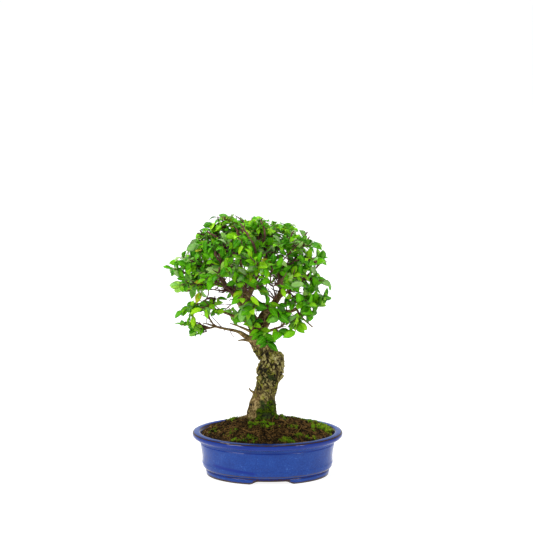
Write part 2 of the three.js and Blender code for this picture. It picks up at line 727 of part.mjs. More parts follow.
const bonsai = new THREE.Group();
bonsai.add(meshOf("pot", pot(), materials.glaze));
bonsai.add(meshOf("drain_screen_left", drainScreen(-DRAIN_SPACING / 2), materials.screen));
bonsai.add(meshOf("drain_screen_right", drainScreen(DRAIN_SPACING / 2), materials.screen));
bonsai.add(meshOf("soil", soil(buried), materials.soil));
bonsai.add(meshOf("trunk", wasm.Manifold.union(woodSolids), materials.bark));
bonsai.add(...sprayMeshes(twigs, woodSolids));

const reach = new THREE.Box3().setFromObject(bonsai).getCenter(new THREE.Vector3());
bonsai.position.set(-reach.x, -reach.y, 0);

const whole = new THREE.Group();
whole.add(bonsai);

export default whole;
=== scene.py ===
"""A japanese zelkova bonsai in an oval blue-glazed stoneware pot.

Every shape below is worked out in millimetres from the middle of the pot at the ground, with X along
the pot's long side, -Y to the front and +Z up. The last step turns it into metres in the model's frame.
"""
import json
import logging
import math
from collections.abc import Iterator
from dataclasses import dataclass, field
from enum import Enum
from typing import ClassVar

import bpy
import numpy as np
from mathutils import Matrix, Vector

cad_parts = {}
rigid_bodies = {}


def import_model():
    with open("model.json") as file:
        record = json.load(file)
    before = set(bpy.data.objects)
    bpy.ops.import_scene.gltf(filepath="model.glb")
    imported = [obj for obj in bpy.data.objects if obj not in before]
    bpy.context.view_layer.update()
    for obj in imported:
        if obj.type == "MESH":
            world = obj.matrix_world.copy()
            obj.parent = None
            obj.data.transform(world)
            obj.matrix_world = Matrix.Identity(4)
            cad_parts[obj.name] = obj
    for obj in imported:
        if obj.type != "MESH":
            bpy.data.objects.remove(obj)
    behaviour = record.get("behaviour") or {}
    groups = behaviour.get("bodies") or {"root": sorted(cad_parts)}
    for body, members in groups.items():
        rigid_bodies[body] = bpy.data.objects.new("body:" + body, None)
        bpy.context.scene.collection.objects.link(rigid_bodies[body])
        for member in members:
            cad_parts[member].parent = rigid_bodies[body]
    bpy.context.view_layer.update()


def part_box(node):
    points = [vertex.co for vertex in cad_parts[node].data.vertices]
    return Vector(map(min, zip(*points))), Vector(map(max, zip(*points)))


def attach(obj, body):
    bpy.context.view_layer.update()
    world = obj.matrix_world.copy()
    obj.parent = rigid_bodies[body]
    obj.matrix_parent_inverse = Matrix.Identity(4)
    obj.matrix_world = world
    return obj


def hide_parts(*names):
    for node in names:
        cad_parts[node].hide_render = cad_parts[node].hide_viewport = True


logging.basicConfig(level=logging.INFO, format="%(message)s")
log = logging.getLogger("bonsai")

Array = np.ndarray
Row = tuple[float, ...]
Rows = tuple[Row, ...]
GOLDEN_ANGLE = math.pi * (3 - math.sqrt(5))


class Edge(Enum):
    """How the faces of a piece meet."""

    ROUNDED = True
    CRISP = False


class Lamp(Enum):
    """The soft boxes of the studio."""

    LEFT = "left"
    RIGHT = "right"
    ABOVE = "above"


# Small tools for arrays

def seeded(seed: int) -> Iterator[float]:
    """Lehmer's generator, as the model's own source draws it: one seed always gives one run.

    Args:
        seed: picks the run.

    Returns:
        Numbers from 0 to 1 without end.
    """
    state = seed * 99991 + 7
    while True:
        state = (state * 48271) % 2147483647
        yield state / 2147483647


def unit(vectors: Array) -> Array:
    """Vectors divided by their own lengths."""
    return vectors / np.maximum(np.linalg.norm(vectors, axis=-1, keepdims=True), 1e-9)


def ease(low: float, high: float, value: Array) -> Array:
    """The smooth step 3t^2 - 2t^3, where t runs from 0 at `low` to 1 at `high`."""
    share = np.clip((value - low) / (high - low), 0, 1)
    return share * share * (3 - 2 * share)


def bell(middle: float | Array, width: float, value: Array) -> Array:
    """The bell curve exp(-((value - middle) / width)^2)."""
    return np.exp(-((value - middle) / width) ** 2)


def lattice(cell: Array, seed: int) -> Array:
    """A number from 0 to 1 for each whole-numbered cell, by multiplying and folding its bits.

    Args:
        cell: whole numbers, three in each row.
        seed: picks the pattern.

    Returns:
        One value for each row, the same on every run.
    """
    whole = cell.astype(np.int64).astype(np.uint32)
    mixed = whole[..., 0] * np.uint32(374761393)
    mixed = mixed + whole[..., 1] * np.uint32(668265263)
    mixed = mixed + whole[..., 2] * np.uint32(2246822519)
    mixed = mixed + np.uint32((seed * 3266489917) % 4294967296)
    mixed = (mixed ^ (mixed >> np.uint32(13))) * np.uint32(1274126177)
    mixed = mixed ^ (mixed >> np.uint32(16))
    return (mixed & np.uint32(0xFFFFFF)) / 16777216.0


def noise(points: Array, seed: int = 0) -> Array:
    """Smooth noise from -1 to 1: the eight corners of each unit cell, blended by the smooth step.

    Args:
        points: places, already divided by the size of the pattern.
        seed: picks the pattern.

    Returns:
        One value for each place.
    """
    cell = np.floor(points)
    share = points - cell
    share = share * share * (3 - 2 * share)
    total = np.zeros(points.shape[:-1])
    for corner in range(8):
        step = np.array([corner & 1, (corner >> 1) & 1, corner >> 2])
        weight = np.prod(np.where(step, share, 1 - share), axis=-1)
        total += weight * lattice(cell + step, seed)
    return total * 2 - 1


def rough(points: Array, octaves: int, seed: int = 0) -> Array:
    """Noise at doubling fineness and halving strength, summed."""
    fineness = 2.0 ** np.arange(octaves)
    return sum(noise(points * fine + 17.3 * k, seed + k) / fine for k, fine in enumerate(fineness))


def cells(points: Array, seed: int = 0) -> tuple[Array, Array]:
    """A cell pattern: one jittered seed point in each unit cube.

    Args:
        points: places, already divided by the size of a cell.
        seed: picks the pattern.

    Returns:
        How much further the second nearest seed point is than the nearest, which is 0 on the cracks
        between cells, and a random number that belongs to the nearest cell.
    """
    base = np.floor(points)
    near = np.full(points.shape[:-1], 9.0)
    second = np.full(points.shape[:-1], 9.0)
    own = np.zeros(points.shape[:-1])
    for shift in np.ndindex(3, 3, 3):
        cell = base + np.array(shift) - 1
        jitter = np.stack([lattice(cell, seed + k) for k in range(3)], axis=-1)
        gap = np.linalg.norm(cell + jitter - points, axis=-1)
        closer = gap < near
        second = np.where(closer, near, np.minimum(second, gap))
        own = np.where(closer, lattice(cell, seed + 7), own)
        near = np.where(closer, gap, near)
    return second - near, own


def smooth_line(way: Array, count: int) -> Array:
    """Rows of numbers along a Catmull-Rom spline through `way`, at equal steps of its own share."""
    return spline(way, np.linspace(0, 1, count))


def spline(way: Array, shares: Array) -> Array:
    """The Catmull-Rom spline of tension one half through `way`.

    Each span is the cubic that leaves its first point at half the chord of the points on either
    side, and meets its second point the same way. Beyond the ends the line goes straight on.

    Args:
        way: the points, one in each row.
        shares: where along the spline, from 0 to 1.

    Returns:
        One row for each share.
    """
    full = np.vstack([2 * way[0] - way[1], way, 2 * way[-1] - way[-2]])
    spans = len(way) - 1
    at = np.clip(shares, 0, 1) * spans
    span = np.minimum(np.floor(at).astype(int), spans - 1)
    t = (at - span)[:, None]
    before, start, end, after = (full[span + k] for k in range(4))
    leave = 0.5 * (end - before)
    meet = 0.5 * (after - start)
    return (
        start
        + leave * t
        + (3 * (end - start) - 2 * leave - meet) * t ** 2
        + (2 * (start - end) + leave + meet) * t ** 3
    )


def bezier(curve: Array, shares: Array) -> Array:
    """Places on the cubic through four control points, weighted (1-t)^3, 3t(1-t)^2, 3t^2(1-t), t^3."""
    t = shares[:, None]
    return (
        (1 - t) ** 3 * curve[0] + 3 * t * (1 - t) ** 2 * curve[1]
        + 3 * t ** 2 * (1 - t) * curve[2] + t ** 3 * curve[3]
    )


@dataclass
class Skin:
    """A mesh while it is being worked out: places in millimetres, faces, and values at its corners."""

    places: Array
    quads: Array = field(default_factory=lambda: np.zeros((0, 4), int))
    tris: Array = field(default_factory=lambda: np.zeros((0, 3), int))
    values: dict[str, Array] = field(default_factory=dict)
    flat: Array | None = None

    def value(self, name: str) -> Array:
        """A named value at every corner, nought where it isn't given."""
        return self.values.get(name, np.zeros(len(self.places)))

    def triangles(self) -> int:
        """How many triangles the mesh has."""
        return 2 * len(self.quads) + len(self.tris)


def joined(skins: list[Skin]) -> Skin:
    """Several meshes as one, with the values of all.

    Args:
        skins: the meshes.

    Returns:
        One mesh. A value that one of them lacks is nought there.
    """
    names = sorted({name for skin in skins for name in skin.values})
    starts = np.cumsum([0] + [len(skin.places) for skin in skins[:-1]])
    flats = [np.zeros((len(s.places), 2)) if s.flat is None else s.flat for s in skins]
    return Skin(
        places=np.vstack([skin.places for skin in skins]),
        quads=np.vstack([skin.quads + start for skin, start in zip(skins, starts)]),
        tris=np.vstack([skin.tris + start for skin, start in zip(skins, starts)]),
        values={name: np.concatenate([skin.value(name) for skin in skins]) for name in names},
        flat=np.vstack(flats) if any(s.flat is not None for s in skins) else None,
    )


def outward_faces(skin: Skin) -> Skin:
    """Turns the faces of a closed skin outward, found by the sign of its volume.

    Args:
        skin: the skin, whose faces all look the same way, in or out.

    Returns:
        The same skin.
    """
    fans = np.vstack([skin.tris, skin.quads[:, [0, 1, 2]], skin.quads[:, [0, 2, 3]]])
    a, b, c = (skin.places[fans[:, k]] for k in range(3))
    if np.sum(np.cross(a, b) * c) < 0:
        skin.quads = skin.quads[:, ::-1]
        skin.tris = skin.tris[:, ::-1]
    return skin


def turned(rows: Array) -> Skin:
    """A closed skin over rings of places, each end drawn together in one middle point.

    Args:
        rows: places as rings x corners x 3. Each ring runs the same way round.

    Returns:
        The skin, with its faces outward.
    """
    rings, around = rows.shape[:2]
    index = np.arange(rings * around).reshape(rings, around)
    after = np.roll(index, -1, axis=1)
    quads = np.stack([index[:-1], after[:-1], after[1:], index[1:]], axis=-1).reshape(-1, 4)
    pole = np.full(around, rings * around)
    first = np.stack([pole, after[0], index[0]], axis=-1)
    last = np.stack([pole + 1, index[-1], after[-1]], axis=-1)
    places = np.vstack([rows.reshape(-1, 3), rows[0].mean(axis=0), rows[-1].mean(axis=0)])
    return outward_faces(Skin(places, quads, np.vstack([first, last])))


def carried(points: Array, aside: Array) -> tuple[Array, Array]:
    """Two directions square to each of many lines, carried along them without a twist.

    Args:
        points: lines x stations x 3.
        aside: the direction in which each line's section starts, lines x 3.

    Returns:
        The direction to the section's side and the one outward, each lines x stations x 3.
    """
    ahead = unit(np.gradient(points, axis=1))
    sides = np.zeros_like(points)
    across = aside
    for station in range(points.shape[1]):
        here = ahead[:, station]
        across = unit(across - here * np.sum(across * here, axis=-1, keepdims=True))
        sides[:, station] = across
    return sides, np.cross(sides, ahead)


def tubes(points: Array, radii: Array, around: int, seed: int = 0) -> Skin:
    """Round closed bars along many lines at once.

    Each ring is the line's point plus the radius times the cosine of the bearing to the side and its
    sine outward.

    Args:
        points: lines x stations x 3.
        radii: lines x stations.
        around: corners round each bar.
        seed: turns each bar by its own angle.

    Returns:
        All the bars as one skin.
    """
    count = len(radii)
    ahead = unit(points[:, 1] - points[:, 0])
    spare = np.where(np.abs(ahead[:, :1]) > 0.8, [[0.0, 1.0, 0.0]], [[1.0, 0.0, 0.0]])
    sides, outward = carried(points, spare)
    turn = np.random.default_rng(seed).random(count)[:, None] * 2 * math.pi
    bearing = turn - np.arange(around)[None] * 2 * math.pi / around
    ring = np.cos(bearing)[:, None, :, None] * sides[:, :, None]
    ring = ring + np.sin(bearing)[:, None, :, None] * outward[:, :, None]
    rows = points[:, :, None] + ring * radii[:, :, None, None]
    one = turned(rows[0])
    size = len(one.places)
    ends = np.stack([rows[:, 0].mean(axis=1), rows[:, -1].mean(axis=1)], axis=1)
    places = np.concatenate([rows.reshape(count, -1, 3), ends], axis=1)
    shift = (np.arange(count) * size)[:, None, None]
    quads = (one.quads[None] + shift).reshape(-1, 4)
    return Skin(places.reshape(-1, 3), quads, (one.tris[None] + shift).reshape(-1, 3))


# The workbench turns a skin into an object of the scene

@dataclass
class Bench:
    """Where the pieces are put together: it knows where the middle of the pot lies in the frame."""

    middle: Vector

    def piece(
        self,
        name: str,
        skin: Skin,
        finish: bpy.types.Material,
        stands_for: list[str],
        edge: Edge = Edge.ROUNDED,
    ) -> bpy.types.Object:
        """Makes one piece of the plant and lets it ride on the model.

        Args:
            name: the piece's name.
            skin: its mesh, in millimetres from the middle of the pot.
            finish: its material.
            stands_for: the nodes of the model that it replaces.
            edge: how its faces meet.

        Returns:
            The new object.
        """
        mesh = self.mesh(name, skin, edge)
        mesh.materials.append(finish)
        made = bpy.data.objects.new(name, mesh)
        bpy.context.scene.collection.objects.link(made)
        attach(made, "root")
        if stands_for:
            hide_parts(*stands_for)
        log.info("%s: %d triangles", name, skin.triangles())
        return made

    def mesh(self, name: str, skin: Skin, edge: Edge) -> bpy.types.Mesh:
        """A mesh from a skin, in metres, with its values as attributes and its flat map.

        Args:
            name: the mesh's name.
            skin: what it is made from, in millimetres from the middle of the pot.
            edge: how its faces meet.

        Returns:
            The mesh.
        """
        offset = np.array([self.middle.x, self.middle.y, 0.0])
        mesh = bpy.data.meshes.new(name)
        mesh.vertices.add(len(skin.places))
        mesh.vertices.foreach_set("co", (skin.places / 1000 + offset).astype(np.float32).ravel())
        corners = np.concatenate([skin.quads.ravel(), skin.tris.ravel()]).astype(np.int32)
        totals = np.concatenate([np.full(len(skin.quads), 4), np.full(len(skin.tris), 3)])
        mesh.loops.add(len(corners))
        mesh.loops.foreach_set("vertex_index", corners)
        mesh.polygons.add(len(totals))
        starts = np.concatenate([[0], np.cumsum(totals)[:-1]])
        mesh.polygons.foreach_set("loop_start", starts.astype(np.int32))
        mesh.polygons.foreach_set("use_smooth", np.full(len(totals), edge.value))
        mesh.update(calc_edges=True)
        for title, values in skin.values.items():
            layer = mesh.attributes.new(title, "FLOAT", "POINT")
            layer.data.foreach_set("value", values.astype(np.float32))
        if skin.flat is not None:
            layer = mesh.uv_layers.new(name="flat")
            layer.data.foreach_set("uv", skin.flat[corners].astype(np.float32).ravel())
        mesh.validate()
        return mesh


# Finishes

def linear(shade: str) -> tuple[float, float, float, float]:
    """A screen colour as linear light.

    Args:
        shade: sRGB, such as "#35539a".

    Returns:
        Red, green, blue and full opacity.
    """
    parts = [int(shade[k:k + 2], 16) / 255 for k in (1, 3, 5)]
    light = [v / 12.92 if v <= 0.04045 else ((v + 0.055) / 1.055) ** 2.4 for v in parts]
    return (*light, 1.0)


class Wiring:
    """The nodes of a material, or of the world, while they are being joined up."""

    def __init__(self, owner: bpy.types.Material | bpy.types.World) -> None:
        """Starts with no nodes at all.

        Args:
            owner: the material or world that the nodes belong to.
        """
        self.owner = owner
        owner.use_nodes = True
        self.tree = owner.node_tree
        self.tree.nodes.clear()

    def add(
        self,
        kind: str,
        *inputs: object,
        stops: tuple[tuple[float, str], ...] = (),
        output: str | None = None,
        **named: object,
    ) -> bpy.types.NodeSocket | None:
        """Adds one node with its settings and links.

        A socket given for an input is linked to it, a hex colour is turned linear, and all else is
        set as it is.

        Args:
            kind: the node's type, without the "ShaderNode" that each begins with.
            inputs: what the first inputs hold, in their order.
            stops: the places and colours of a ramp.
            output: the name of the output to give back. The first that is in use if not given.
            named: the node's own settings in small letters, and what other inputs hold by their
                names, which begin with a capital and have a low line for each space.

        Returns:
            The output socket.
        """
        node = self.tree.nodes.new("ShaderNode" + kind)
        settings = {name: value for name, value in named.items() if name[0].islower()}
        for name, value in settings.items():
            setattr(node, name, value)
        held = list(zip(node.inputs, inputs))
        for name in named.keys() - settings.keys():
            title = name.replace("_", " ")
            held.append((next(s for s in node.inputs if s.enabled and s.name == title), named[name]))
        for socket, value in held:
            if isinstance(value, bpy.types.NodeSocket):
                self.tree.links.new(value, socket)
            else:
                socket.default_value = linear(value) if isinstance(value, str) else value
        for k, (place, colour) in enumerate(stops):
            elements = node.color_ramp.elements
            element = elements[k] if k < len(elements) else elements.new(place)
            element.position = place
            element.color = linear(colour)
        return next((s for s in node.outputs if s.enabled and output in (None, s.name)), None)

    def done(self, surface: bpy.types.NodeSocket) -> bpy.types.Material | bpy.types.World:
        """Joins the surface to the output.

        Args:
            surface: the shader's output.

        Returns:
            The material or world.
        """
        world = isinstance(self.owner, bpy.types.World)
        self.add("OutputWorld" if world else "OutputMaterial", Surface=surface)
        return self.owner


@dataclass(frozen=True)
class BlueGlaze:
    """Cobalt glaze on stoneware, dipped and fired to a deep wet gloss.

    It pools darker in the grooves, runs thin over edges so that the brown body shows through, and
    carries fine pinholes. The foot below the glaze line is bare fired clay.
    """

    deep: str = "#0a3079"
    thin: str = "#133f8c"
    speck: str = "#3a62ac"
    pool: str = "#00257c"
    edge: str = "#38251a"
    clay: str = "#5a4a3e"
    burnt: str = "#2f2a27"
    gloss: float = 0.08
    matt: float = 0.8

    def material(self) -> bpy.types.Material:
        """The glaze over its clay, mixed by the masks on the pot.

        Returns:
            The material.
        """
        w = Wiring(bpy.data.materials.new("cobalt_glaze_on_stoneware"))
        where = w.add("TexCoord", output="Object")
        pool, bare, worn, satin = (
            w.add("Attribute", attribute_name=name, output="Fac")
            for name in ("pool", "bare", "worn", "satin")
        )
        cloud, fine, few = (
            w.add("TexNoise", Vector=where, Scale=scale, Detail=detail)
            for scale, detail in ((70.0, 5.0), (650.0, 3.0), (55.0, 0.0))
        )
        blend = w.add("Math", cloud, 0.45, fine, operation="MULTIPLY_ADD")
        colour = w.add("ValToRGB", blend, stops=((0.54, self.deep), (0.88, self.thin), (1, self.speck)))
        ragged = w.add("Math", fine, 1.2, worn, operation="MULTIPLY_ADD")
        ragged = w.add("MapRange", ragged, 0.92, 1.2)
        pits = w.add("TexVoronoi", Vector=where, Scale=230.0, feature="F1", output="Distance")
        pits = w.add("MapRange", pits, 0.1, 0.05)
        few = w.add("MapRange", few, 0.62, 0.68)
        pits = w.add("Math", pits, few, operation="MULTIPLY")
        grit = w.add("ValToRGB", fine, stops=((0.3, self.burnt), (0.7, self.clay)))
        layers = ((pool, self.pool), (ragged, self.edge), (pits, self.edge), (bare, grit))
        for mask, over in layers:
            colour = w.add("Mix", Factor=mask, A=colour, B=over, data_type="RGBA")
        dull = w.add("Math", satin, bare, operation="MAXIMUM")
        shine = w.add("MapRange", dull, To_Min=self.gloss, To_Max=self.matt)
        height = w.add("Math", fine, 0.15, cloud, operation="MULTIPLY_ADD")
        bump = w.add("Bump", Strength=0.12, Distance=0.0012, Height=height)
        return w.done(w.add(
            "BsdfPrincipled", Base_Color=colour, Roughness=shine, IOR=1.5, Specular_IOR_Level=0.27,
            Normal=bump,
        ))


@dataclass(frozen=True)
class ScreenPlastic:
    """Black moulded polyethylene net, dull and slightly dusty from the soil."""

    shade: str = "#20211e"
    dust: str = "#453829"

    def material(self) -> bpy.types.Material:
        """Plastic with a little soil rubbed into it.

        Returns:
            The material.
        """
        w = Wiring(bpy.data.materials.new("black_polyethylene_net"))
        where = w.add("TexCoord", output="Object")
        grime = w.add("TexNoise", Vector=where, Scale=400.0, Detail=4.0)
        colour = w.add("ValToRGB", grime, stops=((0.45, self.shade), (0.8, self.dust)))
        bump = w.add("Bump", Strength=0.2, Distance=0.0002, Height=grime)
        return w.done(w.add("BsdfPrincipled", Base_Color=colour, Roughness=0.55, Normal=bump))


@dataclass(frozen=True)
class Compost:
    """Damp peat and bark compost: crumbs, dark hollows and pale threads, with no gloss at all."""

    dark: str = "#080500"
    mid: str = "#2a1c07"
    light: str = "#7a5c30"
    moss: str = "#2c3607"

    def material(self) -> bpy.types.Material:
        """Compost coloured by noise at the size of crumbs, and by the green of the moss on it.

        Returns:
            The material.
        """
        w = Wiring(bpy.data.materials.new("damp_peat_compost"))
        where = w.add("TexCoord", output="Object")
        crumb = w.add("TexNoise", Vector=where, Scale=620.0, Detail=6.0)
        patch = w.add("TexNoise", Vector=where, Scale=90.0, Detail=3.0)
        tone = w.add("Attribute", attribute_name="tone", output="Fac")
        green = w.add("Attribute", attribute_name="moss", output="Fac")
        level = w.add("Math", patch, 0.5, crumb, operation="MULTIPLY_ADD")
        level = w.add("Math", level, tone, operation="ADD")
        colour = w.add("ValToRGB", level, stops=((0.6, self.dark), (0.78, self.mid), (1, self.light)))
        colour = w.add("Mix", Factor=green, A=colour, B=self.moss, data_type="RGBA")
        bump = w.add("Bump", Strength=0.8, Distance=0.0008, Height=crumb)
        return w.done(w.add(
            "BsdfPrincipled", Base_Color=colour, Roughness=0.95, Specular_IOR_Level=0.1, Normal=bump,
        ))


@dataclass(frozen=True)
class Moss:
    """Cushion moss: fine upright leaves, dark and damp at the base and bright at the tips."""

    base: str = "#1a2401"
    tip: str = "#7cc406"
    dry: str = "#b0b828"

    def material(self) -> bpy.types.Material:
        """Green that brightens to the tip and dries to straw here and there.

        Returns:
            The material.
        """
        w = Wiring(bpy.data.materials.new("cushion_moss"))
        where = w.add("TexCoord", output="Object")
        tip = w.add("Attribute", attribute_name="tip", output="Fac")
        patch = w.add("TexNoise", Vector=where, Scale=160.0, Detail=3.0)
        bright = w.add("ValToRGB", patch, stops=((0.35, self.tip), (0.75, self.dry)))
        colour = w.add("Mix", Factor=tip, A=self.base, B=bright, data_type="RGBA")
        return w.done(w.add(
            "BsdfPrincipled", Base_Color=colour, Roughness=0.7, Specular_IOR_Level=0.1,
        ))


@dataclass(frozen=True)
class Bark:
    """Old zelkova bark: grey-brown plates that flake off, dark cracks, and yellow-green lichen."""

    # the ramp follows the relief: the dark of the cracks is partly the bark's own and partly painted
    # shade, the light of the crests partly a painted highlight
    crack: str = "#0f0c03"
    hollow: str = "#352c0f"
    plate: str = "#61552a"
    crest: str = "#8c8350"
    pale: str = "#aca674"
    lichen: str = "#7f8018"
    moss_dark: str = "#0b0f02"
    moss: str = "#34420a"
    # what young wood gains in red, green and blue over old wood
    browner: Row = (1.45, 1.2, 1.45, 1.0)

    def material(self) -> bpy.types.Material:
        """Bark coloured by its own relief with painted shade in the cracks and a painted highlight on the
        crests, and lichen and moss where the trunk carries them.

        Returns:
            The material.
        """
        w = Wiring(bpy.data.materials.new("old_zelkova_bark"))
        where = w.add("TexCoord", output="Object")
        grain = w.add("TexNoise", Vector=where, Scale=450.0, Detail=7.0)
        patch = w.add("TexNoise", Vector=where, Scale=110.0, Detail=4.0)
        relief, lichen, moss, pale, brown = (
            w.add("Attribute", attribute_name=name, output="Fac")
            for name in ("relief", "lichen", "moss", "pale", "brown")
        )
        level = w.add("Math", grain, 0.7, relief, operation="MULTIPLY_ADD")
        colour = w.add("ValToRGB", level, stops=(
            (0.38, self.crack), (0.62, self.hollow), (0.84, self.plate), (1, self.crest),
        ))
        aged = w.add(
            "Mix", Factor=1.0, A=colour, B=self.browner, data_type="RGBA", blend_type="MULTIPLY",
        )
        fleck = w.add("Math", grain, lichen, operation="MULTIPLY")
        fleck = w.add("Math", fleck, patch, operation="MULTIPLY")
        fleck = w.add("MapRange", fleck, 0.2, 0.36, To_Max=0.8)
        bright = w.add("Math", grain, pale, operation="MULTIPLY")
        bright = w.add("MapRange", bright, 0.3, 0.55)
        tuft = w.add("Math", grain, 0.8, moss, operation="MULTIPLY_ADD")
        tuft = w.add("MapRange", tuft, 0.8, 1.1)
        green = w.add("ValToRGB", grain, stops=((0.38, self.moss_dark), (0.68, self.moss)))
        layers = ((brown, aged), (fleck, self.lichen), (bright, self.pale), (tuft, green))
        for mask, over in layers:
            colour = w.add("Mix", Factor=mask, A=colour, B=over, data_type="RGBA")
        bump = w.add("Bump", Strength=0.7, Distance=0.0006, Height=grain)
        return w.done(w.add(
            "BsdfPrincipled", Base_Color=colour, Roughness=0.88, Specular_IOR_Level=0.25, Normal=bump,
        ))


@dataclass(frozen=True)
class YoungBark:
    """Smooth red-brown bark of this year's and last year's twigs, with small pale pores."""

    dark: str = "#2c130e"
    light: str = "#6e4838"

    def material(self) -> bpy.types.Material:
        """Twig bark that greys with age, in short rings of pores.

        Returns:
            The material.
        """
        w = Wiring(bpy.data.materials.new("young_zelkova_bark"))
        where = w.add("TexCoord", output="Object")
        grain = w.add("TexNoise", Vector=where, Scale=700.0, Detail=5.0)
        patch = w.add("TexNoise", Vector=where, Scale=90.0, Detail=2.0)
        level = w.add("Math", grain, 0.6, patch, operation="MULTIPLY_ADD")
        colour = w.add("ValToRGB", level, stops=((0.5, self.dark), (1, self.light)))
        bump = w.add("Bump", Strength=0.4, Distance=0.0002, Height=grain)
        return w.done(w.add(
            "BsdfPrincipled", Base_Color=colour, Roughness=0.65, Specular_IOR_Level=0.35, Normal=bump,
        ))


@dataclass(frozen=True)
class LeafTissue:
    """A thin living leaf: waxy green above with sunk veins, paler below, lit through by the lamp, and on
    some a painted sheen.
    """

    dark: str = "#2f7d00"
    mid: str = "#62be00"
    bright: str = "#a8e41c"
    # painted sheen: the whitish glare of the light from above, laid on some of the leaves
    film: str = "#bccc9c"
    old: str = "#c8a828"
    under: str = "#7cb440"
    through: str = "#84e000"
    vein: str = "#9cd448"
    pairs: float = 7.0
    lit_through: float = 0.26

    def material(self) -> bpy.types.Material:
        """Leaf colour by each leaf's own tone and age, a painted sheen where it is marked, and veins by
        its flat map.

        Returns:
            The material.
        """
        w = Wiring(bpy.data.materials.new("zelkova_leaf"))
        where = w.add("TexCoord", output="Object")
        flat = w.add("UVMap", uv_map="flat")
        tone, age, under, film = (
            w.add("Attribute", attribute_name=name, output="Fac")
            for name in ("tone", "age", "under", "film")
        )
        mottle = w.add("TexNoise", Vector=where, Scale=260.0, Detail=4.0)
        along = w.add("SeparateXYZ", flat, output="X")
        across = w.add("SeparateXYZ", flat, output="Y")
        across = w.add("Math", across, 0.5, operation="SUBTRACT")
        aside = w.add("Math", across, operation="ABSOLUTE")
        rib = w.add("MapRange", aside, 0.06, 0.0)
        slope = w.add("Math", aside, -0.55, along, operation="MULTIPLY_ADD")
        wave = w.add("Math", slope, self.pairs, operation="MULTIPLY")
        wave = w.add("Math", wave, 0.5, operation="PINGPONG")
        veins = w.add("MapRange", wave, 0.1, 0.0)
        veins = w.add("Math", veins, rib, operation="MAXIMUM")
        level = w.add("Math", mottle, 0.3, tone, operation="MULTIPLY_ADD")
        colour = w.add("ValToRGB", level, stops=(
            (0.25, self.dark), (0.58, self.mid), (0.95, self.bright),
        ))
        blotch = w.add("Math", mottle, 0.9, age, operation="MULTIPLY_ADD")
        blotch = w.add("MapRange", blotch, 0.95, 1.3, To_Max=0.75)
        # painted sheen: the whitish glare laid patchily over the leaves marked for it
        dull = w.add("Math", film, mottle, operation="MULTIPLY")
        faint = w.add("Math", veins, 0.6, operation="MULTIPLY")
        layers = ((blotch, self.old), (dull, self.film), (faint, self.vein), (under, self.under))
        for mask, over in layers:
            colour = w.add("Mix", Factor=mask, A=colour, B=over, data_type="RGBA")
        bump = w.add("Bump", Strength=0.7, Distance=0.0004, Height=veins, invert=True)
        body = w.add(
            "BsdfPrincipled", Base_Color=colour, Roughness=0.42, Specular_IOR_Level=0.09, Normal=bump,
        )
        glow = w.add("BsdfTranslucent", Color=self.through)
        return w.done(w.add("MixShader", self.lit_through, body, glow))


# The pot

